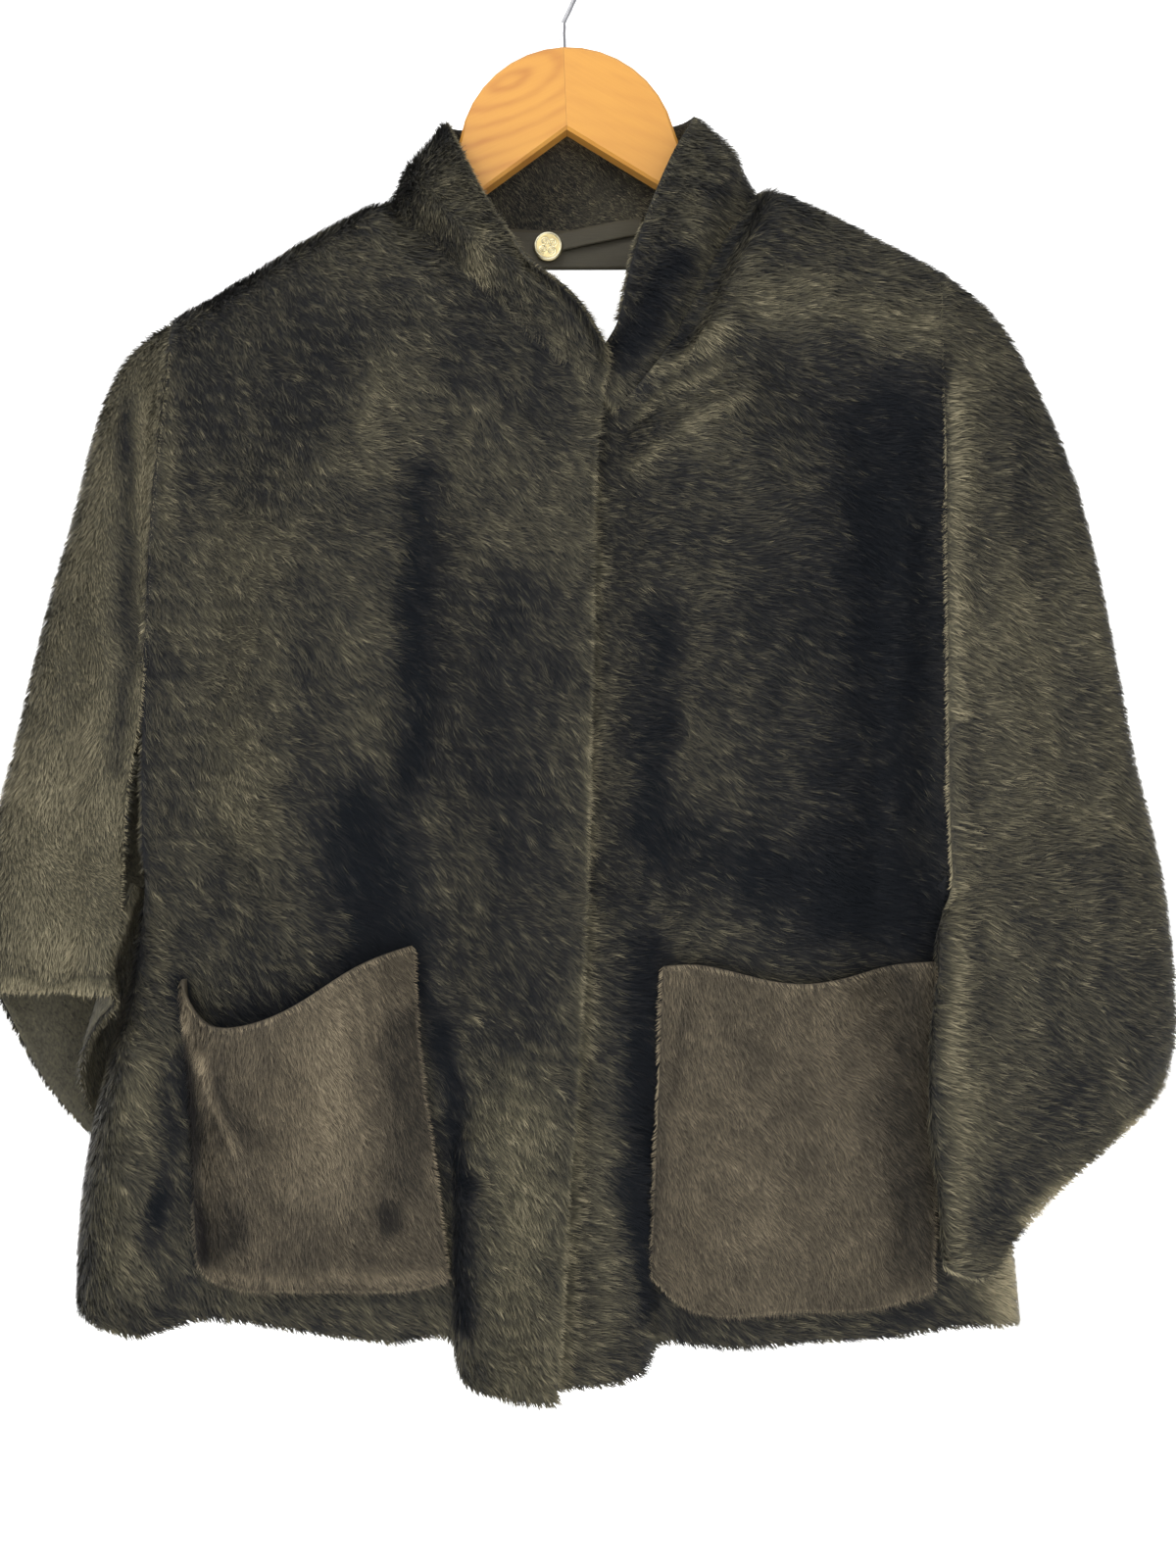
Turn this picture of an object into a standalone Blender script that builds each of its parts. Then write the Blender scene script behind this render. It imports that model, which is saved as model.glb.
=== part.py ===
"""Short faux fur cape with dropped sleeves, hung on a flat wooden hanger.

X runs to the viewer's right, the fronts face -Y, Z is up. The origin is the
crook of the hook, where it hangs on its rail. Tables are in millimetres, with
X taken from the middle of the hanger and Y from the plane of the hanger.
"""
import math
from collections import namedtuple

import bmesh
import bpy
import numpy as np

for old in list(bpy.data.objects):
    bpy.data.objects.remove(old, do_unlink=True)

MM = 0.001
SEAM = 0.3                 # gap left where two pieces are sewn together
CLOTH = 7.0                # fur cloth: knitted backing 2 mm, pile lying 5 mm
COLLAR_CLOTH = 10.4        # two layers of fur cloth, back to back
SATIN = 1.5
TILT = math.radians(2.4)   # the loaded hanger hangs with its right arm up
HOOK_DROP = 75.0           # from the crook down to the top of the wood
WOOD = 13.0                # thickness of the hanger's board
APEX_X = HOOK_DROP * math.sin(TILT)


def smooth(stations, values, at):
    """Reads a table along a smooth curve through its rows, level beyond its ends."""
    s = np.asarray(stations, float)
    v = np.asarray(values, float)
    if s[0] > s[-1]:
        s, v = s[::-1], v[::-1]
    step = np.diff(s)
    rise = np.diff(v) / step
    slope = np.empty_like(v)
    slope[0], slope[-1] = rise[0], rise[-1]
    slope[1:-1] = (rise[:-1] * step[1:] + rise[1:] * step[:-1]) / (step[1:] + step[:-1])
    flat = np.where(rise[:-1] * rise[1:] <= 0)[0] + 1
    slope[flat] = 0
    at = np.clip(np.asarray(at, float), s[0], s[-1])
    i = np.clip(np.searchsorted(s, at, side="right") - 1, 0, len(s) - 2)
    t = (at - s[i]) / step[i]
    h = step[i]
    a = (1 + 2 * t) * (1 - t) ** 2 * v[i] + t * (1 - t) ** 2 * h * slope[i]
    return a + t * t * (3 - 2 * t) * v[i + 1] + t * t * (t - 1) * h * slope[i + 1]


def column(table, key, name, at):
    return smooth([getattr(r, key) for r in table], [getattr(r, name) for r in table], at)


def ease(t):
    t = np.clip(t, 0, 1)
    return t * t * (3 - 2 * t)


def material(name, rgb, roughness, metallic=0.0):
    mat = bpy.data.materials.new(name)
    mat.use_nodes = True
    shader = mat.node_tree.nodes["Principled BSDF"]
    shader.inputs["Base Color"].default_value = (*rgb, 1)
    shader.inputs["Roughness"].default_value = roughness
    shader.inputs["Metallic"].default_value = metallic
    return mat


FUR = material("dark_fur", (0.045, 0.04, 0.032), 0.9)
FUR_SMOOTH = material("pocket_fur", (0.07, 0.06, 0.046), 0.9)
SATIN_DARK = material("dark_satin", (0.06, 0.055, 0.045), 0.4)
WHITE = material("white_tape", (0.85, 0.85, 0.84), 0.7)
GOLD = material("pale_gold", (0.85, 0.72, 0.42), 0.3, 1.0)
BEECH = material("blond_wood", (0.8, 0.46, 0.18), 0.5)
STEEL = material("bright_steel", (0.7, 0.7, 0.7), 0.25, 1.0)

garment = bpy.data.objects.new("hanging", None)
garment.location = (APEX_X * MM, 0, 0)
bpy.context.collection.objects.link(garment)


def add(name, bm, mat, parent=garment):
    bmesh.ops.recalc_face_normals(bm, faces=bm.faces)
    if bm.calc_volume(signed=True) < 0:
        bmesh.ops.reverse_faces(bm, faces=bm.faces)
    mesh = bpy.data.meshes.new(name)
    bm.to_mesh(mesh)
    bm.free()
    mesh.shade_smooth()
    mesh.set_sharp_from_angle(angle=math.radians(50))
    mesh.materials.append(mat)
    obj = bpy.data.objects.new(name, mesh)
    bpy.context.collection.objects.link(obj)
    obj.parent = parent
    return obj


def grid_normals(p, closed=False):
    """Unit normals of a grid of points, rows running down and columns across."""
    if closed:
        across = np.roll(p, -1, 1) - np.roll(p, 1, 1)
    else:
        across = np.gradient(p, axis=1)
    n = np.cross(across, np.gradient(p, axis=0))
    return n / np.maximum(np.linalg.norm(n, axis=2, keepdims=True), 1e-9)


def wall(name, outer, inner, mat, cells=None, closed=False):
    """Cloth as a closed wall: outer points, inner points and the raw edges between."""
    rows, cols = outer.shape[:2]
    wide = cols if closed else cols - 1
    if cells is None:
        cells = np.ones((rows - 1, wide), bool)
    bm = bmesh.new()
    made = {}

    def vert(layer, r, c):
        key = (layer, r, c % cols)
        if key not in made:
            made[key] = bm.verts.new((outer, inner)[layer][r, c % cols] * MM)
        return made[key]

    edges = set()
    for r in range(rows - 1):
        for c in range(wide):
            if not cells[r, c]:
                continue
            ring = [(r, c), (r, c + 1), (r + 1, c + 1), (r + 1, c)]
            bm.faces.new([vert(0, *k) for k in ring])
            bm.faces.new([vert(1, *k) for k in reversed(ring)])
            for a, b in zip(ring, ring[1:] + ring[:1]):
                edges.add(((a[0], a[1] % cols), (b[0], b[1] % cols)))
    for a, b in edges:
        if (b, a) not in edges:
            bm.faces.new([vert(0, *b), vert(0, *a), vert(1, *a), vert(1, *b)])
    return add(name, bm, mat)


# ---------------------------------------------------------------- the hanger
# Top edge and underside of one arm, from the apex outwards.
Edge = namedtuple("Edge", "x z")
ARCH_RADIUS = 62.0
ARCH_END = 12              # degrees above level where the arch runs into the arm
ARM_TOP = [Edge(64, -60), Edge(74, -75), Edge(88, -84.5), Edge(107, -93.5), Edge(130, -103),
           Edge(150, -112.5), Edge(175, -126.5), Edge(202, -140.5), Edge(212, -146.5)]
ARM_END = Edge(216, -153)
ARM_UNDER = [Edge(213, -161), Edge(200, -162), Edge(150, -138), Edge(107, -114),
             Edge(48, -79), Edge(SEAM / 2, -47)]
REST = 2.6                 # crest of the cloth's inner side above the flat of the wood
CREST = 7.9                # thickness of the cloth over the slanting shoulder seam
SEAM_END = 245.0           # the shoulder seams' line is known out to here


def tilted(x, z):
    """A point of the hanger, level and under the crook, as it hangs; X from the apex."""
    z = z - HOOK_DROP
    return (x * math.cos(TILT) - z * math.sin(TILT) - APEX_X,
            x * math.sin(TILT) + z * math.cos(TILT))


shoulder_rows = []
for side in (-1, 1):
    for edge in ARM_TOP[3:]:
        shoulder_rows.append(tilted(side * edge.x, edge.z))
    slope = (ARM_TOP[-1].z - ARM_TOP[-3].z) / (ARM_TOP[-1].x - ARM_TOP[-3].x)
    end_z = ARM_TOP[-1].z + slope * (SEAM_END - ARM_TOP[-1].x)
    shoulder_rows.append(tilted(side * SEAM_END, end_z))
shoulder_rows.sort()


def shoulder(x):
    """Height of the fur along the shoulder seam above the hanger's arm."""
    xs, zs = zip(*shoulder_rows)
    return smooth(xs, zs, x) + REST + CREST


ARCH_STEPS = 8
RIM = 1.6                  # chamfer along the board's edges


def hanger_half(name, side):
    """One half of the board, cut square on the mitre line and eased along its rim."""
    top = [(SEAM / 2, 0.0)]
    for k in range(1, ARCH_STEPS + 1):
        a = math.radians(90 - k * (90 - ARCH_END) / ARCH_STEPS)
        top.append((ARCH_RADIUS * math.cos(a), ARCH_RADIUS * (math.sin(a) - 1)))
    outline = top + [tuple(e) for e in ARM_TOP + [ARM_END] + ARM_UNDER]
    bm = bmesh.new()
    corners = [bm.verts.new((side * x * MM, -WOOD / 2 * MM, z * MM)) for x, z in outline]
    face = bm.faces.new(corners)
    grown = bmesh.ops.extrude_face_region(bm, geom=[face])
    moved = [v for v in grown["geom"] if isinstance(v, bmesh.types.BMVert)]
    bmesh.ops.translate(bm, verts=moved, vec=(0, WOOD * MM, 0))
    bm.normal_update()
    mitre = SEAM * MM
    rim = [e for e in bm.edges
           if abs(e.verts[0].co.y - e.verts[1].co.y) < 1e-6
           and max(abs(v.co.x) for v in e.verts) > mitre]
    bmesh.ops.bevel(bm, geom=rim, offset=RIM * MM, segments=1, affect="EDGES",
                    clamp_overlap=True)
    half = add(name, bm, BEECH, None)
    half.location = (HOOK_DROP * MM * math.sin(TILT), 0, -HOOK_DROP * MM * math.cos(TILT))
    half.rotation_euler = (0, -TILT, 0)
    return half


hanger_half("hanger_left", -1)
hanger_half("hanger_right", 1)

WIRE = 3.8
CROOK = 20.0               # inside radius of the hook


def hook():
    """Round steel wire: a straight stem, a side step and a crook over the rail."""
    centre = CROOK + WIRE / 2
    path = [(0, SEAM - HOOK_DROP), (0, -66), (0.5, -60), (4, -53.5)]
    for degrees in range(-58, 191, 14):
        a = math.radians(degrees)
        path.append((centre * math.cos(a), -CROOK + centre * math.sin(a)))
    curve = bpy.data.curves.new("hook", "CURVE")
    curve.dimensions = "3D"
    spline = curve.splines.new("POLY")
    spline.points.add(len(path) - 1)
    for point, (x, z) in zip(spline.points, path):
        point.co = (x * MM, 0, z * MM, 1)
    curve.bevel_depth = WIRE / 2 * MM
    curve.bevel_resolution = 2
    curve.use_fill_caps = True
    curve.materials.append(STEEL)
    obj = bpy.data.objects.new("hook", curve)
    obj.rotation_euler = (0, -TILT, 0)
    bpy.context.collection.objects.link(obj)


hook()

# ---------------------------------------------------------------- the body
# One row for each level: the armhole seams, the sides below them, and how far
# the cloth stands from the plane of the hanger at the middle and at the flanks.
Level = namedtuple("Level", "z arm_l side_l arm_r side_r chest flank_l flank_r back seat")
LEVELS = [
    Level(-150, -220, -220, 214, 214, 40, 20, 20, 38, 20),
    Level(-250, -221, -221, 213, 213, 50, 26, 26, 45, 26),
    Level(-330, -228, -228, 212, 212, 53, 32, 31, 50, 32),
    Level(-430, -231, -231, 212, 212, 54, 37, 35, 52, 37),
    Level(-545, -232, -232, 213, 213, 53, 41, 37, 55, 41),
    Level(-580, -233, -237, 214, 216, 53, 41, 35, 56, 42),
    Level(-620, -234, -252, 216, 226, 53, 41, 33, 57, 43),
    Level(-680, -236, -268, 220, 242, 52, 41, 31, 58, 44),
    Level(-740, -238, -277, 224, 256, 50, 41, 31, 59, 45),
    Level(-820, -240, -279, 226, 264, 48, 41, 32, 60, 46),
]
UNDERARM = -545.0
MIDDLE = -3.0              # where the panels stand furthest from the hanger
ROUND = 2.4                # how squarely a panel turns from its middle to its armhole
TIP = 214.0                # shoulder seams end here, above the armhole seams

# The neck seam, from the lapped front edge round the back to the other front,
# with the collar's top edge above it and how far the collar rolls outwards.
Neck = namedtuple("Neck", "at x y z top_x top_y top_z roll")
NECK = [
    Neck(0.0, 22, -55, -266, 22, -57, -254, 0),
    Neck(0.8, 2, -56, -256, 14, -60, -230, 3),
    Neck(2.0, -30, -52, -230, -9, -58, -212, 7),
    Neck(3.4, -62, -41, -203, -33, -50, -189, 10),
    Neck(4.8, -88, -23, -177, -50, -36, -157, 10),
    Neck(6.0, -103, 0, -161, -69, -13, -119, 8),
    Neck(7.2, -86, 26, -161, -71, 13, -113, 5),
    Neck(9.0, -45, 38, -164, -38, 27, -112, 3),
    Neck(11.0, 3, 41, -165, 3, 32, -114, 3),
    Neck(13.0, 48, 38, -161, 46, 28, -111, 3),
    Neck(14.8, 88, 26, -156, 74, 15, -109, 5),
    Neck(16.0, 110, 0, -152, 78, -10, -112, 8),
    Neck(17.3, 97, -21, -176, 66, -27, -133, 10),
    Neck(18.8, 79, -35, -212, 51, -40, -167, 10),
    Neck(20.4, 60, -45, -252, 34, -51, -217, 8),
    Neck(22.0, 33, -47, -286, 28, -54, -257, 2),
]
NECK_SIDE = (6.0, 16.0)    # where the shoulder seams meet the neck seam
LAP_NECK = [Edge(-14, -290), Edge(10, -291), Edge(33, -286)]
LAP_NECK_DEPTH = 44.0

# Front edge of the upper front, and the hems.
FRONT_EDGE = [Edge(22, -266), Edge(16, -320), Edge(15, -370), Edge(13, -500),
              Edge(8, -630), Edge(0, -740), Edge(-4, -820)]
LAP = 36.0                 # how far the other front runs on beneath it
FRONT_HEM = [Edge(-280, -790), Edge(-241, -801), Edge(-189, -790), Edge(-136, -797),
             Edge(-85, -802), Edge(-60, -797), Edge(-46, -816), Edge(-14, -821),
             Edge(2, -816), Edge(24, -819), Edge(38, -814), Edge(50, -802),
             Edge(96, -805), Edge(128, -803), Edge(179, -802), Edge(221, -797), Edge(264, -800)]
BACK_HEM = [Edge(-280, -790), Edge(-180, -801), Edge(-60, -796), Edge(60, -804),
            Edge(190, -799), Edge(264, -800)]

# Folds: a soft ridge (above 0) or trough (below 0) along a straight line.
Fold = namedtuple("Fold", "x0 z0 x1 z1 width start end")
FRONT_FOLDS = [
    Fold(3, -585, -8, -835, 34, 2, 44),          # centre front swings forward
    Fold(-64, -590, -62, -835, 15, -3, -12),
    Fold(46, -560, 50, -835, 16, -4, -14),
    Fold(-80, -330, -74, -575, 24, -6, -9),      # shaded hollow beside the chest
    Fold(-118, -300, -156, -560, 40, 5, 8),
    Fold(-196, -300, -186, -560, 20, -4, -6),
    Fold(172, -300, 176, -600, 24, -7, -12),
    Fold(84, -310, 92, -570, 36, 6, 6),
    Fold(40, -276, 100, -236, 8, 5, 3),          # drag lines from the front neck
    Fold(42, -290, 112, -280, 8, 4, 3),
    Fold(40, -305, 92, -330, 9, 4, 2),
    Fold(-216, -262, -226, -470, 8, 6, 3),       # ridge along the armhole seams
    Fold(206, -285, 206, -548, 9, 9, 8),
    Fold(-212, -620, -203, -835, 11, -6, -10),   # pleats beside the hanging pocket
    Fold(-228, -640, -222, -835, 9, 3, 6),
]
BACK_FOLDS = [
    Fold(-150, -330, -165, -835, 30, 4, 12),
    Fold(-92, -420, -100, -835, 22, -3, -12),
    Fold(-30, -300, -38, -835, 34, 3, 10),
    Fold(38, -460, 44, -835, 22, -2, -11),
    Fold(105, -330, 118, -835, 32, 4, 12),
    Fold(176, -480, 186, -835, 20, -2, -9),
]


def push(folds, x, z):
    """How far the folds lift the cloth at a point of a panel."""
    total = np.zeros(np.broadcast(x, z).shape)
    for f in folds:
        dx, dz = f.x1 - f.x0, f.z1 - f.z0
        t = np.clip(((x - f.x0) * dx + (z - f.z0) * dz) / (dx * dx + dz * dz), 0, 1)
        away = np.hypot(x - f.x0 - t * dx, z - f.z0 - t * dz) / f.width
        total = total + (f.start + (f.end - f.start) * t) * np.exp(-away * away)
    return total


def level(name, z):
    return column(LEVELS, "z", name, z)


def front_depth(x, z):
    """Distance of the fronts' outer side before the plane of the hanger."""
    left = x < MIDDLE
    arm = np.where(left, level("arm_l", z), level("arm_r", z))
    flank = np.where(left, level("flank_l", z), level("flank_r", z))
    t = np.clip((x - MIDDLE) / (arm - MIDDLE), 0, 1.1)
    chest = level("chest", z)
    return chest - (chest - flank) * t ** ROUND + push(FRONT_FOLDS, x, z)


def back_depth(x, z):
    arm = np.where(x < MIDDLE, level("arm_l", z), level("arm_r", z))
    t = np.clip((x - MIDDLE) / (arm - MIDDLE), 0, 1.1)
    back = level("back", z)
    return back - (back - level("seat", z)) * t ** ROUND + push(BACK_FOLDS, x, z)


CAP_ROWS = 5               # over the shoulder
CAP_DROP = 26.0
EVEN_BY = 260.0            # below this drop the columns of a panel are evenly spaced
NECK_OPENS = 9.0           # nearer the hanger than this, the cloth curls over the seam
CHEST_ROWS = 9             # down to the underarm
SKIRT_ROWS = 9             # down to the hem
ARM_ROW = CAP_ROWS + CHEST_ROWS
ROWS = ARM_ROW + SKIRT_ROWS + 1
NECK_COLUMNS = 8
BACK_NECK_COLUMNS = 12
SHOULDER_COLUMNS = 8
LAP_COLUMNS = 4            # of the under front, beneath the upper one
SIDE_COLUMNS = 3           # round the side, below the armhole only


def neck(at):
    return np.array([column(NECK, "at", key, at) for key in ("x", "y", "z")])


def panel(front, x_top, y_top, z_top, edge_x, arm_side, lap_offset=None):
    """Points of a panel and their inward directions, for columns edge to armhole.

    x_top, y_top and z_top run along the neck and shoulder seams. edge_x gives
    the other edge's X at a height, or None where the panel goes on past it.
    """
    n = len(x_top) - 1
    sign = -1 if front else 1
    arm_key = "arm_l" if arm_side < 0 else "arm_r"
    points = np.zeros((ROWS, n + 1, 3))
    hem = FRONT_HEM if front else BACK_HEM
    hem_x, hem_z = zip(*hem)
    for r in range(ROWS):
        for c in range(n + 1):
            top = z_top[c]
            if r <= CAP_ROWS:
                f = r / CAP_ROWS
                phi = math.radians(90 * f)
                open_neck = min(1.0, abs(y_top[c]) / NECK_OPENS)
                z = top - CAP_DROP * ((1 - math.cos(phi)) * (1 - open_neck) + f * open_neck)
                lift = math.sin(phi) * (1 - open_neck) + ease(f) * open_neck
            elif r <= ARM_ROW:
                z = top - CAP_DROP
                z += (UNDERARM - z) * (r - CAP_ROWS) / CHEST_ROWS
                lift = 1.0
            else:
                z = UNDERARM
                lift = 1.0
            down = ease((top - min(z, top)) / EVEN_BY)
            start, stop = edge_x(z), float(level(arm_key, z))
            first, last = edge_x(z_top[0]), float(level(arm_key, z_top[-1]))
            w_top = (x_top[c] - first) / (last - first)
            w = w_top + (c / n - w_top) * down
            x = start + (stop - start) * w if r else x_top[c]
            if r > ARM_ROW:
                f = (r - ARM_ROW) / SKIRT_ROWS
                for _ in range(3):
                    z = UNDERARM + (float(smooth(hem_x, hem_z, x)) - UNDERARM) * f
                    start, stop = edge_x(z), float(level(arm_key, z))
                    x = start + (stop - start) * c / n
            depth = float(front_depth(x, z) if front else back_depth(x, z))
            if lap_offset is not None:
                depth -= lap_offset(x, z)
            y0 = abs(y_top[c])
            points[r, c] = (x, sign * (y0 + (depth - y0) * lift), z)
    return points


SIDE_ROUND = 0.8           # under 1 turns the corners of the sides more squarely
SCOOP = 10.0               # the armhole's lowest point below its two corners


def side_points(front, arm_side, r, arm_point):
    """The cloth going round the side from the armhole's column to the side seam."""
    sign = -1 if front else 1
    z = arm_point[2]
    arm, side = arm_point[0], float(level("side_l" if arm_side < 0 else "side_r", z))
    hem_x, hem_z = zip(*(FRONT_HEM if front else BACK_HEM))
    found = []
    for k in range(1, SIDE_COLUMNS + 1):
        phi = math.radians(90 * k / SIDE_COLUMNS)
        x = arm + (side - arm) * math.sin(phi)
        y = arm_point[1] * math.cos(phi) ** SIDE_ROUND if k < SIDE_COLUMNS else sign * SEAM / 2
        f = max(r - ARM_ROW, 0) / SKIRT_ROWS
        low = UNDERARM - SCOOP * math.sin(phi)
        found.append((x, y, low + (float(smooth(hem_x, hem_z, x)) - low) * f))
    return found


def edge_curve(z):
    xs, zs = zip(*FRONT_EDGE)
    return float(smooth(zs, xs, z))


def arm_curve(z, side):
    return float(level("arm_l" if side < 0 else "arm_r", z))


LAP_CLEAR = 1.0            # between the two fronts where they lap
LAP_TURN = 5.0             # more of it lower down, where the lap stands on its side
LAP_TURN_FROM, LAP_TURN_OVER = -600.0, 160.0
LAP_EASES = (4.0, 26.0)    # beyond the upper edge, where the lower front comes forward


def build_front(side):
    """Points of one front and the column where its neck and shoulder seams meet."""
    lower = side > 0
    ends = (0.0, NECK_SIDE[0]) if side < 0 else (22.0, NECK_SIDE[1])
    at = np.linspace(*ends, NECK_COLUMNS + 1)
    x, y, z = neck(at)
    if lower:
        xs, zs = zip(*LAP_NECK)
        more = np.linspace(LAP_NECK[0].x, LAP_NECK[-1].x, LAP_COLUMNS + 1)[:-1]
        x = np.concatenate([more, x])
        z = np.concatenate([smooth(xs, zs, more), z])
        y = np.concatenate([np.full(LAP_COLUMNS, LAP_NECK_DEPTH), y])
    tip = arm_curve(shoulder(side * TIP), side)
    along = np.linspace(x[-1], tip, SHOULDER_COLUMNS + 1)[1:]
    y[-1] = SEAM / 2
    x_top = np.concatenate([x, along])
    z_top = np.concatenate([z, shoulder(along)])
    z_top[len(x) - 1] = neck(ends[1])[2]
    y_top = np.concatenate([y, np.full(SHOULDER_COLUMNS, SEAM / 2)])

    def start(height):
        return edge_curve(height) - (LAP if lower else 0)

    def under_lap(px, pz):
        steep = ease((LAP_TURN_FROM - pz) / LAP_TURN_OVER)
        beyond = ease((px - edge_curve(pz) - LAP_EASES[0]) / LAP_EASES[1])
        return (CLOTH + LAP_CLEAR + LAP_TURN * steep) * (1 - beyond)

    grid = panel(True, x_top, y_top, z_top, start, side, under_lap if lower else None)
    return grid, len(x) - 1


def inward_of(grid, sign):
    """Directions from the outer side of a panel to its inner side."""
    n = grid_normals(grid)
    return np.where(n[..., 1:2] * sign > 0, -n, n)


CORNER_DIP = 1.3           # how far the neck's corners dip into the shoulder seam


def seam_directions(inward, grid, first, last):
    """Squares a panel's directions up along the seams it shares with its neighbours."""
    across = np.gradient(grid[0], axis=0)
    for c in range(grid.shape[1]):
        level_out = inward[2, c] * (1, 1, 0)
        level_out /= np.linalg.norm(level_out)
        over = np.array([across[c, 2], 0, -across[c, 0]])
        over *= -np.sign(over[2] or 1) / np.linalg.norm(over)
        on_neck = first <= c <= last
        at_corner = c in (first, last) and 0 < c < grid.shape[1] - 1
        if at_corner and abs(grid[0, c, 1]) < SEAM:
            level_out = level_out * (1, 0, 0) + CORNER_DIP * over
        inward[0, c] = level_out / np.linalg.norm(level_out) if on_neck else over
    return inward


def arm_directions(inward, c, front):
    """At an armhole seam the wall stands in the plane of the seam."""
    for r in range(ARM_ROW):
        flat = inward[r, c] * (0, 1, 1)
        inward[r, c] = flat / np.linalg.norm(flat)
    inward[ARM_ROW, c] = (0, 0.8 if front else -0.8, 0.6)


def add_side(grid, inward, front, side):
    """Adds the columns that go round the side below an armhole."""
    at = 0 if side < 0 and not front else -1
    extra = np.array([side_points(front, side, r, grid[r, at]) for r in range(ROWS)])
    joined = np.concatenate([grid[:, at][:, None], extra], axis=1)
    n = grid_normals(joined)
    turned = np.sum(n * (side, 0, 0) + n * (0, -0.3 if front else 0.3, 0), axis=2, keepdims=True)
    n = np.where(turned > 0, -n, n)
    lean = n[ARM_ROW] * 0.7 + (0, 0, 0.5)
    n[ARM_ROW] = lean / np.linalg.norm(lean, axis=1, keepdims=True)
    n[:, -1] = (-side, 0, 0)
    n[ARM_ROW, -1] = (-side * 0.8, 0, 0.6)
    turn = inward[ARM_ROW + 1:, at] + n[ARM_ROW + 1:, 0]
    inward[ARM_ROW + 1:, at] = turn / np.linalg.norm(turn, axis=1, keepdims=True)
    more, dirs = extra, n[:, 1:]
    if at == 0:
        return (np.concatenate([more[:, ::-1], grid], axis=1),
                np.concatenate([dirs[:, ::-1], inward], axis=1))
    return np.concatenate([grid, more], axis=1), np.concatenate([inward, dirs], axis=1)


def armhole_cells(columns, sides):
    cells = np.ones((ROWS - 1, columns - 1), bool)
    if 1 in sides:
        cells[:ARM_ROW, -SIDE_COLUMNS:] = False
    if -1 in sides:
        cells[:ARM_ROW, :SIDE_COLUMNS] = False
    return cells


def build_back():
    """Points of the back between the armholes, and their inward directions."""
    tips = [arm_curve(shoulder(side * TIP), side) for side in (-1, 1)]
    at = np.linspace(*NECK_SIDE, BACK_NECK_COLUMNS + 1)
    x, y, z = neck(at)
    y[0] = y[-1] = SEAM / 2
    left = np.linspace(tips[0], x[0], SHOULDER_COLUMNS + 1)[:-1]
    right = np.linspace(x[-1], tips[1], SHOULDER_COLUMNS + 1)[1:]
    x_top = np.concatenate([left, x, right])
    z_top = np.concatenate([shoulder(left), z, shoulder(right)])
    seam = np.full(SHOULDER_COLUMNS, SEAM / 2)
    y_top = np.concatenate([seam, y, seam])
    grid = panel(False, x_top, y_top, z_top, lambda height: arm_curve(height, -1), 1)
    inward = seam_directions(inward_of(grid, 1), grid,
                             SHOULDER_COLUMNS, SHOULDER_COLUMNS + BACK_NECK_COLUMNS)
    arm_directions(inward, 0, False)
    arm_directions(inward, -1, False)
    return grid, inward


fronts = {}
panels = {}
for side, name in ((-1, "front_right"), (1, "front_left")):
    grid, corner = build_front(side)
    inward = seam_directions(inward_of(grid, -1), grid, 0, corner)
    arm_directions(inward, -1, True)
    fronts[side] = (grid.copy(), inward.copy(), corner)
    grid, inward = add_side(grid, inward, True, side)
    cells = np.ones((ROWS - 1, grid.shape[1] - 1), bool)
    cells[:ARM_ROW, -SIDE_COLUMNS:] = False
    wall(name, grid, grid + CLOTH * inward, FUR, cells)
    panels[side] = (grid, inward)

back_grid, back_inward = build_back()
grid, inward = add_side(back_grid, back_inward.copy(), False, 1)
grid, inward = add_side(grid, inward, False, -1)
wall("back", grid, grid + CLOTH * inward, FUR, armhole_cells(grid.shape[1], (-1, 1)))

# ---------------------------------------------------------------- the collar
COLLAR_ROWS = 7
CROWN = 3.5                # the rounded fold along the collar's top edge
# How far the collar's lower edge stands above the neck seam, in seam gaps.
Lift = namedtuple("Lift", "at gaps")
LIFTS = [Lift(3, 4.2), Lift(6, 1.6), Lift(14, 1.6), Lift(16, 6)]


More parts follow.
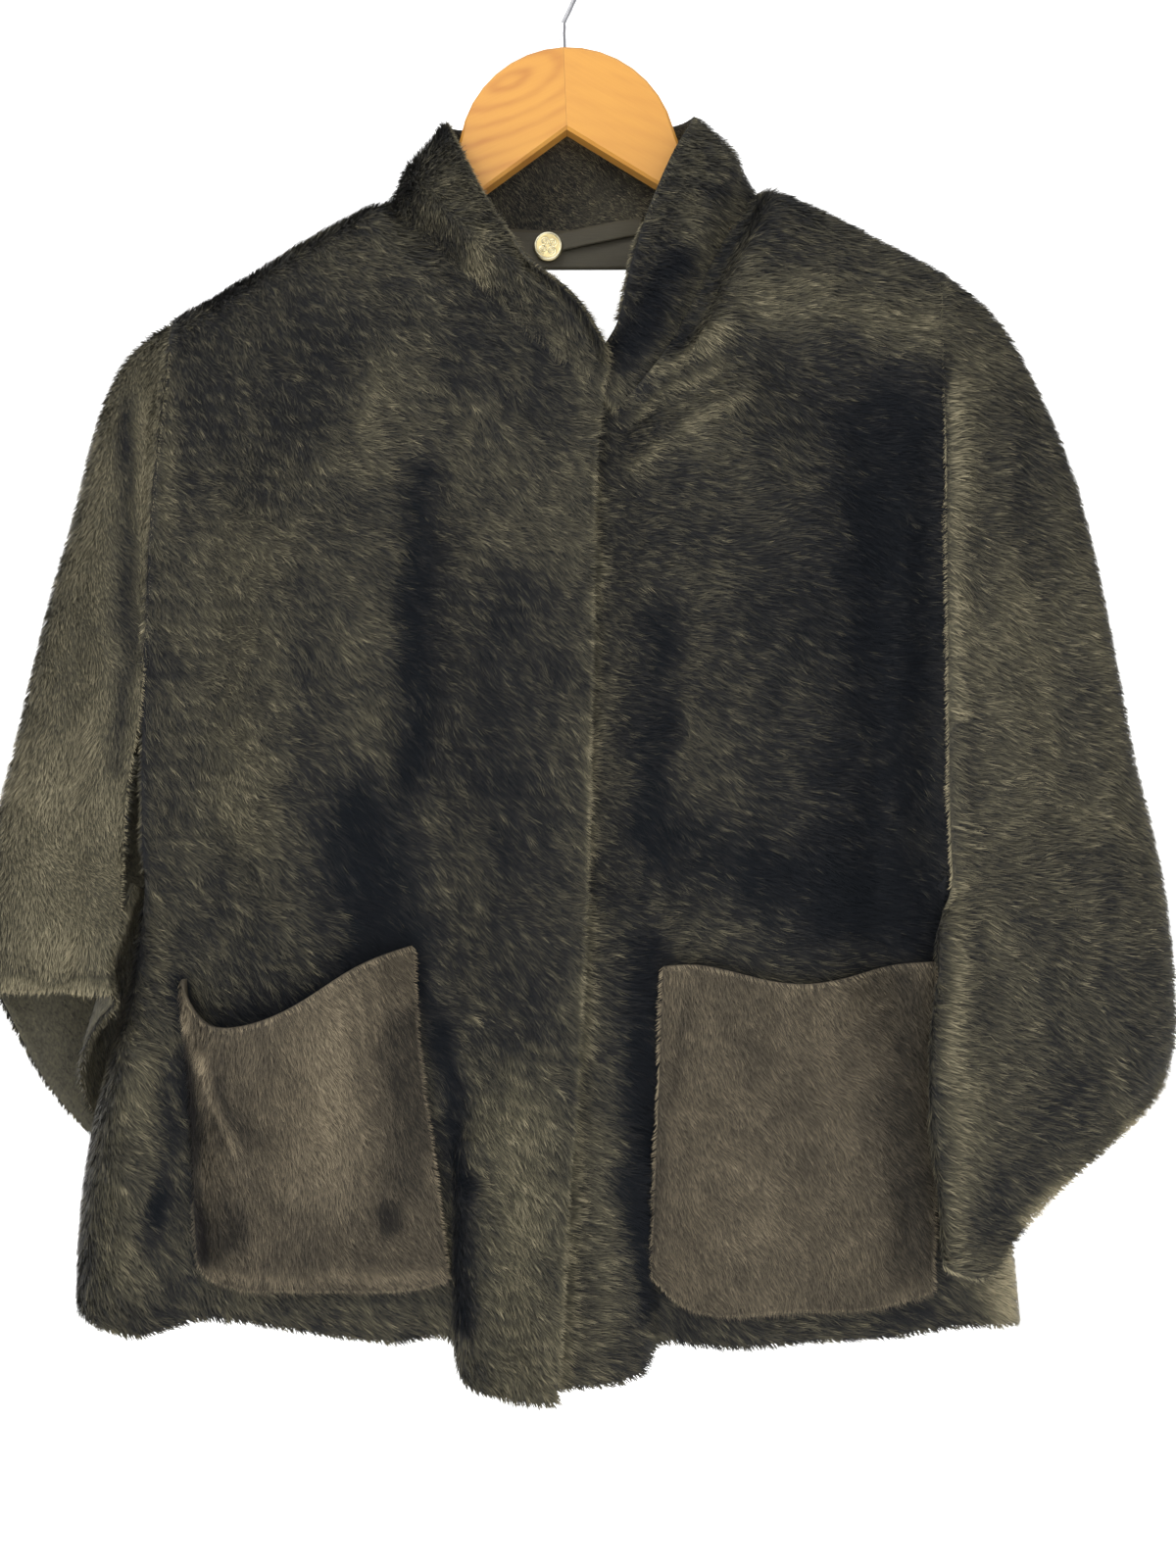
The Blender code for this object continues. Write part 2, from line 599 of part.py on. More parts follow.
def build_collar():
    """A band of two layers of fur, from one front edge round the neck to the other."""
    left, _, left_corner = fronts[-1]
    right, _, right_corner = fronts[1]
    inner = slice(SHOULDER_COLUMNS + 1, SHOULDER_COLUMNS + BACK_NECK_COLUMNS)
    seam = np.concatenate([left[0, :left_corner + 1], back_grid[0, inner],
                           right[0, LAP_COLUMNS:right_corner + 1][::-1]])
    at = np.concatenate([np.linspace(0, NECK_SIDE[0], NECK_COLUMNS + 1),
                         np.linspace(*NECK_SIDE, BACK_NECK_COLUMNS + 1)[1:-1],
                         np.linspace(NECK_SIDE[1], 22, NECK_COLUMNS + 1)])
    along = np.gradient(seam, axis=0)
    ins = np.column_stack([-along[:, 1], along[:, 0], np.zeros(len(seam))])
    ins *= -np.sign(np.sum(ins * seam, axis=1, keepdims=True))
    ins /= np.linalg.norm(ins, axis=1, keepdims=True)
    seam = seam + np.outer(np.interp(at, *zip(*LIFTS)), (0, 0, SEAM))
    top = np.array([column(NECK, "at", key, at) for key in ("top_x", "top_y", "top_z")]).T
    roll = column(NECK, "at", "roll", at)[:, None]
    rows = []
    for r in range(COLLAR_ROWS):
        t = r / (COLLAR_ROWS - 1)
        rows.append(seam + (top - seam) * t - ins * roll * math.sin(math.pi * t) ** 1.8)
    outer = np.array(rows)
    n = grid_normals(outer)
    n = np.where(np.sum(n * ins, axis=2, keepdims=True) < 0, -n, n)
    n[0] = ins
    inner_side = outer + COLLAR_CLOTH * n
    rise = outer[-1] - outer[-2]
    rise = rise / np.linalg.norm(rise, axis=1, keepdims=True)
    crown = (outer[-1] + inner_side[-1]) / 2 + CROWN * rise
    outer = np.concatenate([outer, crown[None]])
    inner_side = np.concatenate([inner_side, (crown + (inner_side[-1] - crown) * 0.35)[None]])
    wall("collar", outer, inner_side, FUR)


build_collar()

# ---------------------------------------------------------------- the sleeves
# Rows run from the shoulder tip (0) by the underarm (1) to the hem (2): the
# outer fold, the two corners beside the body, and how full the cloth hangs.
Row = namedtuple("Row", "s out_x out_z front_x front_y back_x back_y full")
SLEEVES = {
    -1: [Row(0.0, -222, -225, -222, -24, -222, 24, 1.0),
         Row(0.12, -243, -239, -222, -26, -222, 26, 1.0),
         Row(0.25, -256, -256, -224, -29, -224, 29, 0.95),
         Row(0.4, -267, -284, -228, -33, -228, 33, 0.9),
         Row(0.6, -279, -335, -230, -37, -230, 37, 0.8),
         Row(0.8, -297, -402, -231, -39, -231, 39, 0.75),
         Row(1.0, -317, -488, -232, -41, -232, 41, 0.7),
         Row(1.4, -328, -545, -237, -53, -238, 52, 0.65),
         Row(2.0, -336, -612, -238, -58, -244, 54, 0.6)],
    1: [Row(0.0, 214, -204, 214, -22, 214, 22, 1.0),
        Row(0.12, 240, -217, 213, -25, 213, 25, 1.0),
        Row(0.25, 257, -238, 212, -28, 212, 28, 0.95),
        Row(0.4, 273, -270, 212, -31, 212, 32, 0.9),
        Row(0.6, 292, -314, 212, -34, 212, 36, 0.85),
        Row(0.8, 309, -382, 212, -36, 212, 38, 0.8),
        Row(1.0, 326, -476, 213, -37, 213, 40, 0.75),
        Row(1.12, 331, -500, 214, -46, 215, 45, 0.73),
        Row(1.3, 339, -540, 206, -54, 218, 50, 0.7),
        Row(2.0, 351, -658, 204, -60, 226, 54, 0.65)],
}
HALF = 10                  # columns of one layer, seam to outer fold
SLEEVE_COLUMNS = 2 * HALF + 1
INNER_COLUMNS = 2 * SIDE_COLUMNS - 1
SleeveHem = namedtuple("SleeveHem", "at z")
SLEEVE_HEMS = {
    -1: [SleeveHem(0, -603), SleeveHem(3, -609), SleeveHem(9, -611), SleeveHem(11, -615),
         SleeveHem(13, -640), SleeveHem(15, -676), SleeveHem(17, -706), SleeveHem(20, -728),
         SleeveHem(23, -672), SleeveHem(26, -603)],
    1: [SleeveHem(0, -748), SleeveHem(1, -772), SleeveHem(2, -758), SleeveHem(3, -728),
        SleeveHem(4, -711), SleeveHem(6, -692), SleeveHem(8, -674), SleeveHem(10, -657),
        SleeveHem(12, -668), SleeveHem(14, -688), SleeveHem(17, -712), SleeveHem(20, -732),
        SleeveHem(23, -738), SleeveHem(26, -748)],
}
SLEEVE_FOLDS = {
    -1: [Fold(-236, -290, -236, -540, 6, -5, -7), Fold(-250, -300, -258, -640, 12, 4, 7),
         Fold(-286, -380, -300, -640, 13, -2, -5)],
    1: [Fold(228, -280, 222, -800, 10, 4, 6), Fold(252, -330, 250, -800, 12, -2, -6),
        Fold(290, -360, 300, -760, 16, 2, 5)],
}
BELOW = {-1: 4, 1: 8}      # rows from the underarm to the hem
SLEEVE_GAP = 6.2           # between the sleeve's inner layer and the body's side
RIDGE_ROOM = 9.0           # more of it in front, for the ridge along the armhole
BACK_ROOM = 2.0
WITHIN = 190.0             # a point with the whole sleeve on its outer side
BLEND = 4                  # columns over which a sleeve leaves the armhole seam


def sleeve_layers(side, s, z_front, z_back):
    """One row of a sleeve from its front corner round the outer fold to its back corner."""
    rows = SLEEVES[side]
    out_x, out_z, fx, fy, bx, by, full = (float(column(rows, "s", k, s)) for k in Row._fields[1:])
    points = []
    for i in range(SLEEVE_COLUMNS):
        a = math.radians(90 * i / HALF)
        front = i <= HALF
        x0, y0, z0 = (fx, fy, z_front) if front else (bx, by, z_back)
        reach = math.sin(a)
        x = x0 + (out_x - x0) * reach
        y = y0 * abs(math.cos(a)) ** full
        points.append((x, y, z0 + (out_z - z0) * reach))
    return np.array(points)


def fold_sleeve(points, side, amount):
    """Lifts a row of a sleeve by its folds, not at its seams or outer fold."""
    for i, (x, y, z) in enumerate(points):
        across = math.sin(math.radians(180 * i / HALF))
        sign = -1 if i <= HALF else 1
        points[i, 1] += sign * amount * abs(across) ** 0.5 * float(push(SLEEVE_FOLDS[side], x, z))
    return points


def build_sleeve(name, side):
    """A dropped sleeve: open on the body's side to the underarm, a tube below it."""
    front, front_in, _ = fronts[side]
    back_at = 0 if side < 0 else -1
    f, fi = front[:, -1], front_in[:, -1]
    b, bi = back_grid[:, back_at], back_inward[:, back_at]
    out = np.array([side * SEAM, 0, 0])
    arch = np.concatenate([f[CAP_ROWS:0:-1], [f[0] * (1, 0, 1)], b[1:CAP_ROWS + 1]])
    arch_in = np.concatenate([fi[CAP_ROWS:0:-1], [fi[0]], bi[1:CAP_ROWS + 1]])
    rows = []
    doubled = np.zeros((SLEEVE_COLUMNS, 3))
    doubled[::2], doubled[1::2] = arch, (arch[:-1] + arch[1:]) / 2
    first_in = np.zeros((SLEEVE_COLUMNS, 3))
    first_in[::2], first_in[1::2] = arch_in, (arch_in[:-1] + arch_in[1:]) / 2
    ghost = np.zeros((INNER_COLUMNS, 3))
    rows.append(np.concatenate([doubled + out, ghost]))
    for j in range(1, CHEST_ROWS + 1):
        s = j / CHEST_ROWS
        r = CAP_ROWS + j
        layer = fold_sleeve(sleeve_layers(side, s, f[r, 2], b[r, 2]), side, ease(s / 0.5))
        for end, seam in ((0, f[r]), (-1, b[r])):
            shift = seam + out - layer[end]
            for k in range(BLEND):
                layer[k if end == 0 else -1 - k] += shift * (1 - k / BLEND) ** 2
        rows.append(np.concatenate([layer, ghost]))
    under = CHEST_ROWS
    behind = side_points(False, side, ARM_ROW, b[ARM_ROW])
    before = side_points(True, side, ARM_ROW, f[ARM_ROW])
    inner = behind[:-1] + [(behind[-1][0], 0, behind[-1][2])] + before[:-1][::-1]
    rows[under][SLEEVE_COLUMNS:] = np.array(inner) + out
    top = rows[under].copy()
    hems = SLEEVE_HEMS[side]
    total = SLEEVE_COLUMNS + INNER_COLUMNS
    for j in range(1, BELOW[side] + 1):
        fall = j / BELOW[side]
        s = 1 + fall
        z = top[:, 2] + (column(hems, "at", "z", np.arange(total)) - top[:, 2]) * fall
        row = np.zeros((total, 3))
        layer = sleeve_layers(side, s, UNDERARM, UNDERARM)
        layer[:, 2] = z[:SLEEVE_COLUMNS]
        row[:SLEEVE_COLUMNS] = fold_sleeve(layer, side, 1.0)
        clear = SLEEVE_GAP * min(1.0, 0.75 + fall)
        for k in range(INNER_COLUMNS):
            phi = math.radians(180 - 180 * (k + 1) / (INNER_COLUMNS + 1))
            height = z[SLEEVE_COLUMNS + k]
            keys = ("arm_l", "side_l", "flank_l") if side < 0 else ("arm_r", "side_r", "flank_r")
            arm, edge, flank = (float(level(key, height)) for key in keys)
            if math.cos(phi) < 0:
                flank = float(level("seat", height)) + BACK_ROOM
            else:
                flank += RIDGE_ROOM * (1 - fall)
            x = arm + (edge - arm) * math.sin(phi) + side * clear
            turn = math.copysign(abs(math.cos(phi)) ** SIDE_ROUND, math.cos(phi))
            y = -(flank + clear) * turn
            row[SLEEVE_COLUMNS + k] = (x, y if abs(y) > 1e-6 else 0, height)
        rows.append(row)
    grid = np.array(rows)
    inward = np.zeros_like(grid)
    upper = grid_normals(grid[:under + 1, :SLEEVE_COLUMNS])
    lower = grid_normals(grid[under:], closed=True)
    for n, block in ((upper, grid[:under + 1, :SLEEVE_COLUMNS]), (lower, grid[under:])):
        outwards = np.sum(n * ((block - (side * WITHIN, 0, 0)) * (1, 1, 0)), axis=2)
        if outwards[:, HALF].mean() > 0:
            n *= -1
    inward[:under + 1, :SLEEVE_COLUMNS] = upper
    inward[under:] += lower
    inward[:under, [0, SLEEVE_COLUMNS - 1]] *= (0, 1, 1)
    inward[0, :SLEEVE_COLUMNS] = first_in
    inward[under, 0] = (0, 0.8, 0.6)
    inward[under, SLEEVE_COLUMNS - 1] = (0, -0.8, 0.6)
    for k in range(INNER_COLUMNS):
        inward[under, SLEEVE_COLUMNS + k] = (side * 0.8, 0, 0.6)
    length = np.linalg.norm(inward, axis=2, keepdims=True)
    inward /= np.where(length > 0, length, 1)
    cells = np.ones((len(grid) - 1, total), bool)
    cells[:under, SLEEVE_COLUMNS - 1:] = False
    wall(name, grid, grid + CLOTH * inward, FUR, cells, closed=True)


build_sleeve("sleeve_right", -1)
build_sleeve("sleeve_left", 1)

# ---------------------------------------------------------------- the patch pockets
# The outline on the front: across from the left (0) to the right (1), the
# heights of the open top and of the sewn bottom; down from the top (0) to the
# bottom (1), the two sewn sides.
Across = namedtuple("Across", "at top bottom")
Down = namedtuple("Down", "at left right")
POCKET_ROWS = 8
POCKET_GAP = 1.0
TOP_LINE = -610.0          # level where the pocket's columns are picked out
POCKETS = {
    -1: ([Across(0, -600, -758), Across(0.07, -618, -766), Across(0.25, -624, -769),
          Across(0.5, -613, -769), Across(0.8, -589, -769), Across(1, -582, -764)],
         [Down(0, -209, -81), Down(0.35, -206, -77), Down(0.7, -204, -68), Down(1, -198, -60)],
         17.0),            # how far the middle of its top gapes
    1: ([Across(0, -592, -762), Across(0.08, -590, -773), Across(0.5, -602, -780),
         Across(0.85, -594, -779), Across(1, -591, -772)],
        [Down(0, 55, 204), Down(0.5, 50, 203), Down(1, 45, 201)],
        2.0),
}


def along_column(points, inward, c, z):
    """Point and inward direction where a column of a panel passes a height."""
    low = int(math.floor(c))
    high = min(low + 1, points.shape[1] - 1)
    f = c - low
    p = points[:, low] * (1 - f) + points[:, high] * f
    d = inward[:, low] * (1 - f) + inward[:, high] * f
    down = -p[:, 2]
    at = [np.interp(-z, down, p[:, k]) for k in range(3)]
    way = np.array([np.interp(-z, down, d[:, k]) for k in range(3)])
    return np.array(at), way / np.linalg.norm(way)


def column_at(points, x, z):
    """The column, with its fraction, where a level line on a panel passes X."""
    xs = [np.interp(-z, -points[:, c, 2], points[:, c, 0]) for c in range(points.shape[1])]
    order = np.arange(points.shape[1])
    if xs[0] > xs[-1]:
        return float(np.interp(x, xs[::-1], order[::-1]))
    return float(np.interp(x, xs, order))


def pocket(name, side):
    """A patch lying on its front, lifted from it towards the open top."""
    points, inward = panels[side]
    across, down, gape = POCKETS[side]
    lines = []
    ends = sorted(column_at(points, x, TOP_LINE) for x in (down[0].left, down[0].right))
    inside = range(math.ceil(ends[0] + 0.3), math.floor(ends[1] - 0.3) + 1)
    spots = [(c - ends[0]) / (ends[1] - ends[0]) for c in [ends[0], *inside, ends[1]]]
    if side < 0:
        spots = [1 - s for s in spots]
    for s in spots:
        line = []
        top, bottom = (float(column(across, "at", key, s)) for key in ("top", "bottom"))
        for r in range(POCKET_ROWS + 1):
            t = r / POCKET_ROWS
            z = top + (bottom - top) * t
            left, right = (float(column(down, "at", key, t)) for key in ("left", "right"))
            x = left + (right - left) * s
            at, way = along_column(points, inward, column_at(points, x, z), z)
            away = POCKET_GAP + gape * math.sin(math.pi * s) ** 0.8 * (1 - t) ** 1.6
            line.append((at - away * way, at - (away + CLOTH) * way))
        lines.append(line)
    grid = np.array(lines).transpose(2, 1, 0, 3)
    wall(name, grid[1], grid[0], FUR_SMOOTH)


pocket("pocket_right", -1)
pocket("pocket_left", 1)

# ---------------------------------------------------------------- inside the neck
LINING_GAP = 0.35
FACING = (-66, 68, -189.5)         # left, right, straight lower edge
LABEL = (-24, 50, -190.2, -238)    # left, right, top, bottom
TAPE = 1.0
TAB_FROM, TAB_TO = (-15, -177.5), (47, -165)
TAB_WIDTH = 10.5
TAB_SLACK = 2.5            # the strap's middle stands off the facing


def inside_back(x, z, away):
    """A point this far inside the back panel's inner side."""
    inner = back_grid + CLOTH * back_inward
    at, way = along_column(inner, back_inward, column_at(inner, x, z), z)
    return at + way * away


def lining(name, left, right, top, bottom, thick, mat, rows=4, columns=12):
    """A flat-sewn strip on the inside of the back."""
    grids = []
    for away in (LINING_GAP + thick, LINING_GAP):
        grid = np.zeros((rows, columns, 3))
        for c in range(columns):
            x = left + (right - left) * c / (columns - 1)
            high = top(x) if callable(top) else top
            for r in range(rows):
                grid[r, c] = inside_back(x, high + (bottom - high) * r / (rows - 1), away)
        grids.append(grid)
    wall(name, grids[0], grids[1], mat)


def below_neck(x):
    rows = [n for n in NECK if NECK_SIDE[0] < n.at < NECK_SIDE[1]]
    return float(smooth([n.x for n in rows], [n.z for n in rows], x)) - 2


lining("neck_facing", FACING[0], FACING[1], below_neck, FACING[2], SATIN, SATIN_DARK)
lining("label", *LABEL, TAPE, WHITE, columns=8)


def build_tab():
    """A satin strap across the facing, its left end under the button."""
    front, behind = [], []
    steps = 9
    for c in range(steps):
        t = c / (steps - 1)
        x = TAB_FROM[0] + (TAB_TO[0] - TAB_FROM[0]) * t
        mid = TAB_FROM[1] + (TAB_TO[1] - TAB_FROM[1]) * t
        proud = LINING_GAP * 2 + SATIN + TAB_SLACK * math.sin(math.pi * t) ** 0.7
        for layer, away in ((front, proud + SATIN), (behind, proud)):
            layer.append([inside_back(x, mid + TAB_WIDTH / 2 * up, away) for up in (1, 0, -1)])
    front, behind = (np.array(side).transpose(1, 0, 2) for side in (front, behind))
    wall("neck_tab", front, behind, SATIN_DARK)


build_tab()

BUTTON_RADIUS = 8.4
BUTTON_AT = (-9.5, -178)
BUTTON_BACK = 1.6          # from the strap to the button's back


def build_button():
    """A turned metal button, domed in the middle with a raised rim, facing the front."""
    seat = inside_back(*BUTTON_AT, LINING_GAP * 3 + SATIN * 2 + BUTTON_BACK)
    profile = [(0, -2.6), (3, -2.5), (5.6, -2.0), (6.4, -1.9), (6.9, -2.7), (7.8, -2.7),
               (BUTTON_RADIUS, -2.0), (BUTTON_RADIUS, -0.9), (7.6, -0.2), (3.0, 0), (0, 0)]
    around = 32
    bm = bmesh.new()
    rings = []
    for radius, y in profile:
        if radius == 0:
            rings.append([bm.verts.new((seat[0] * MM, (seat[1] + y) * MM, seat[2] * MM))])
            continue
        ring = []
        for k in range(around):
            a = 2 * math.pi * k / around
            spot = (seat[0] + radius * math.cos(a), seat[1] + y, seat[2] + radius * math.sin(a))
            ring.append(bm.verts.new([v * MM for v in spot]))
        rings.append(ring)
    for one, two in zip(rings, rings[1:]):
        for k in range(around):
            a, b = one[k % len(one)], one[(k + 1) % len(one)]
            c, d = two[(k + 1) % len(two)], two[k % len(two)]
            bm.faces.new([v for i, v in enumerate((a, b, c, d)) if v not in (a, b, c, d)[:i]])
    add("button", bm, GOLD)


build_button()
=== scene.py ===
"""Short cape of dark faux fur with dropped sleeves, hung on a flat wooden hanger."""
import math
from collections import namedtuple

import bmesh
import bpy
import numpy as np
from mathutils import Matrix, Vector
from mathutils.bvhtree import BVHTree
from mathutils.kdtree import KDTree


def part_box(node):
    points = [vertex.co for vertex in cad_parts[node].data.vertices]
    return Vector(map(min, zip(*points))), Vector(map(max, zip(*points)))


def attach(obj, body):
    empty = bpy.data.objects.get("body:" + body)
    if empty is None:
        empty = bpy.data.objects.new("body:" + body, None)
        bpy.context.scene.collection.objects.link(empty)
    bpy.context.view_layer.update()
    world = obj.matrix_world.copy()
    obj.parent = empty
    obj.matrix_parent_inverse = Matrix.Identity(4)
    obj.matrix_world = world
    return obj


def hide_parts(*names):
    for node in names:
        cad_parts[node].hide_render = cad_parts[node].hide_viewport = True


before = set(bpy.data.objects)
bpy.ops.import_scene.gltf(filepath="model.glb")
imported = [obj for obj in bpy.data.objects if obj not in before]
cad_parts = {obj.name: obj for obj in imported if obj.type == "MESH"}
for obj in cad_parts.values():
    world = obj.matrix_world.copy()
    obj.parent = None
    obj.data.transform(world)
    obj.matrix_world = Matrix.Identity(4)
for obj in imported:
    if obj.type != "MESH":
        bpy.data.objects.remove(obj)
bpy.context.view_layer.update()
MM = 0.001

# ---------------------------------------------------------------- the hanger
# A flat board hanger sawn from blond wood in two halves, which meet on a mitre
# under the hook and are glued there. It is sanded and thinly varnished.


class Finish:
    """A material with its shader. node() adds a node and returns it as a Wire."""

    def __init__(self, name, roughness, metallic=0.0, **fixed):
        self.material = bpy.data.materials.new(name)
        self.material.use_nodes = True
        self.tree = self.material.node_tree
        self.shader = self.tree.nodes["Principled BSDF"]
        self.set("Roughness", roughness)
        self.set("Metallic", metallic)
        for socket, value in fixed.items():
            self.set(socket.replace("_", " "), value)

    def set(self, socket, value):
        plug = self.shader.inputs[socket]
        if isinstance(value, Wire):
            self.tree.links.new(value.socket, plug)
        elif isinstance(value, tuple):
            plug.default_value = (*value, 1.0)
        else:
            plug.default_value = value

    def node(self, kind, settings=None, inputs=None, output=0):
        node = self.tree.nodes.new(kind)
        for key, value in (settings or {}).items():
            if key == "ramp":
                stops = node.color_ramp.elements
                while len(stops) < len(value):
                    stops.new(0.5)
                for stop, (place, colour) in zip(stops, value):
                    stop.position = place
                    stop.color = (*colour, 1.0)
            else:
                setattr(node, key, value)
        for key, value in (inputs or {}).items():
            if isinstance(value, Wire):
                self.tree.links.new(value.socket, node.inputs[key])
            elif isinstance(value, tuple) and len(node.inputs[key].default_value) == 4:
                node.inputs[key].default_value = (*value, 1.0)
            else:
                node.inputs[key].default_value = value
        return Wire(self, node.outputs[output])

    def place(self, scale=(1, 1, 1)):
        """Where a point lies on the object, in metres times scale."""
        spot = self.node("ShaderNodeTexCoord", output="Object")
        return self.node("ShaderNodeMapping", {"vector_type": "POINT"},
                         {"Vector": spot, "Scale": scale})

    def cloud(self, vector, scale, detail=3.0):
        """Soft noise from 0 to 1, with scale lumps to each unit of vector."""
        return self.node("ShaderNodeTexNoise", None,
                         {"Vector": vector, "Scale": scale, "Detail": detail,
                          "Roughness": 0.55}, "Fac")

    def ramp(self, value, *stops):
        return self.node("ShaderNodeValToRGB", {"ramp": stops}, {"Fac": value})

    def blend(self, factor, one, two):
        return self.node("ShaderNodeMix", {"data_type": "RGBA"},
                         {"Factor": factor, 6: one, 7: two}, 2)

    def dents(self, height, depth):
        """Surface relief from a height, the depth in metres."""
        self.set("Normal", self.node("ShaderNodeBump", None,
                                     {"Height": height, "Distance": depth, "Strength": 1.0}))


class Wire:
    """An output socket that can be used in sums: every operator adds one Math node."""

    def __init__(self, finish, socket):
        self.finish = finish
        self.socket = socket

    def math(self, operation, *values):
        return self.finish.node("ShaderNodeMath", {"operation": operation},
                                dict(enumerate(values)))

    def __add__(self, other):
        return self.math("ADD", self, other)

    __radd__ = __add__

    def __sub__(self, other):
        return self.math("SUBTRACT", self, other)

    def __rsub__(self, other):
        return self.math("SUBTRACT", other, self)

    def __mul__(self, other):
        return self.math("MULTIPLY", self, other)

    __rmul__ = __mul__

    def __pow__(self, other):
        return self.math("POWER", self, other)

    def clamp(self):
        return self.math("MAXIMUM", self.math("MINIMUM", self, 1.0), 0.0)


HANGER_TILT = math.radians(2.4)
ARM_SLOPE = math.radians(27)
WOOD_PALE = (0.58, 0.280, 0.044)
WOOD_DEEP = (0.41, 0.158, 0.024)
GRAIN_HEART = {-1: (-0.027, 0.0, -0.095), 1: (0.10, 0.0, -0.22)}   # where its arches centre
# metres along the arm, through the board and across the arm
RING_SHAPE = (0.115, 0.40, 0.044)
PATCH_SHAPE = (0.10, 0.05, 0.03)
PORE_SHAPE = (0.03, 0.004, 0.0012)
PORE_DEPTH = 0.05 * MM
GLUE_LINE = 0.3 * MM
GLUE_DARK = (0.30, 0.125, 0.025)
GLUE_PALE = (0.42, 0.19, 0.04)


def wood(name, side, figure):
    """Blond wood, its grain along the arm on that side (-1 left, 1 right).

    figure is how strongly the rings show.
    """
    finish = Finish(name, 0.42, Coat_Weight=0.12, Coat_Roughness=0.35)
    spot = finish.node("ShaderNodeTexCoord", output="Object")
    turn = (0, ARM_SLOPE * side + HANGER_TILT, 0)

    def stretched(size):
        return finish.node("ShaderNodeMapping", {"vector_type": "TEXTURE"},
                           {"Vector": spot, "Location": GRAIN_HEART[side], "Rotation": turn,
                            "Scale": size})

    rings = finish.node("ShaderNodeTexWave",
                        {"wave_type": "RINGS", "rings_direction": "SPHERICAL",
                         "wave_profile": "SIN"},
                        {"Vector": stretched(RING_SHAPE), "Scale": 1.75,
                         "Distortion": 1.9, "Detail": 2.0, "Detail Scale": 1.8}, "Fac") ** 2.0
    patches = finish.cloud(stretched(PATCH_SHAPE), 2.0, 2.0)
    pores = finish.cloud(stretched(PORE_SHAPE), 1.0, 2.0)
    lines = (rings * figure) * (patches * 1.6 - 0.1).clamp()
    shade = (lines + patches * 0.40 + pores * 0.30 - 0.12).clamp()
    finish.set("Base Color", finish.blend(shade, WOOD_PALE, WOOD_DEEP))
    finish.set("Roughness", 0.36 + pores * 0.18)
    finish.dents(pores, PORE_DEPTH)
    return finish.material


for half, side, figure in (("left", -1, 0.60), ("right", 1, 0.14)):
    board = bpy.data.objects["hanger_" + half]
    board.data.materials.clear()
    board.data.materials.append(wood("blond_wood_" + half, side, figure))


def mitre_glue():
    """The dark glue line between the halves: the left half's mitre face, made thick."""
    bm = bmesh.new()
    bm.from_mesh(bpy.data.objects["hanger_left"].data)
    bm.normal_update()
    turned = [face for face in bm.faces if face.normal.x < 0.98]
    bmesh.ops.delete(bm, geom=turned, context="FACES")
    middle = max(vert.co.x for vert in bm.verts)
    far = [face for face in bm.faces if face.calc_center_median().x < middle - 3 * MM]
    bmesh.ops.delete(bm, geom=far, context="FACES")
    grown = bmesh.ops.extrude_face_region(bm, geom=list(bm.faces))["geom"]
    for vert in grown:
        if isinstance(vert, bmesh.types.BMVert):
            vert.co.x += GLUE_LINE
    bmesh.ops.recalc_face_normals(bm, faces=bm.faces)
    mesh = bpy.data.meshes.new("mitre_glue")
    bm.to_mesh(mesh)
    bm.free()
    glue = Finish("dry_glue", 0.6)
    lumps = glue.cloud(glue.place(), 900.0)
    glue.set("Base Color", glue.blend(lumps, GLUE_DARK, GLUE_PALE))
    glue.dents(lumps, 0.1 * MM)
    mesh.materials.append(glue.material)
    piece = bpy.data.objects.new("mitre_glue", mesh)
    bpy.context.scene.collection.objects.link(piece)
    return piece


glue_line = mitre_glue()
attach(glue_line, "root")

# ---------------------------------------------------------------- the hook
# A crook of bright steel wire, screwed into the top of the arch. It is drawn
# wire, so its fine scratches run along it.
STEEL_DARK = (0.40, 0.40, 0.42)
STEEL_BRIGHT = (0.54, 0.54, 0.56)
SCRATCHES = (900, 900, 60)   # to a metre, so that they are drawn out along the wire
steel = Finish("bright_steel", 0.22, 1.0)
scratches = steel.cloud(steel.place(SCRATCHES), 1.0, 2.0)
steel.set("Base Color", steel.blend(scratches, STEEL_DARK, STEEL_BRIGHT))
steel.set("Roughness", 0.20 + scratches * 0.16)
hook = bpy.data.objects["hook"]
hook.data.materials.clear()
hook.data.materials.append(steel.material)

# ---------------------------------------------------------------- body panels
# Two fronts and a back of knitted cloth with a dense brushed pile about 8 mm
# long, sewn together at the shoulders and sides. The pile lies down at a slant,
# grey-brown at its tips and painted darker towards its roots, as painted shade
# deep in the pile.
PILE = 3.6 * MM            # height of the lying pile above the knitted backing
BACKING = 2.0 * MM
CLOTH = 7.0 * MM           # wall of the solids, backing and pile
WELD = 0.02 * MM
SHARP = 1.0                # radians: the two sides of a wall meet more sharply
SCRAP = 300 * MM * MM      # smaller stretches are raw edges
FLAT_PAIR = 0.9            # radians: two triangles that meet more flatly become a quad
ANY_SHAPE = 3.1            # radians, so that quads of any shape may form
SMALL_HOLE = 8             # corners of the largest hole that is closed
POINTS_DOWN = -0.5         # an edge whose way out has a lower z is a hem
RIM_SPACING = 0.4 * MM     # from one lock of the fringe to the next
TONES = (0.02, 0.98)       # the fur's darkest and palest tone


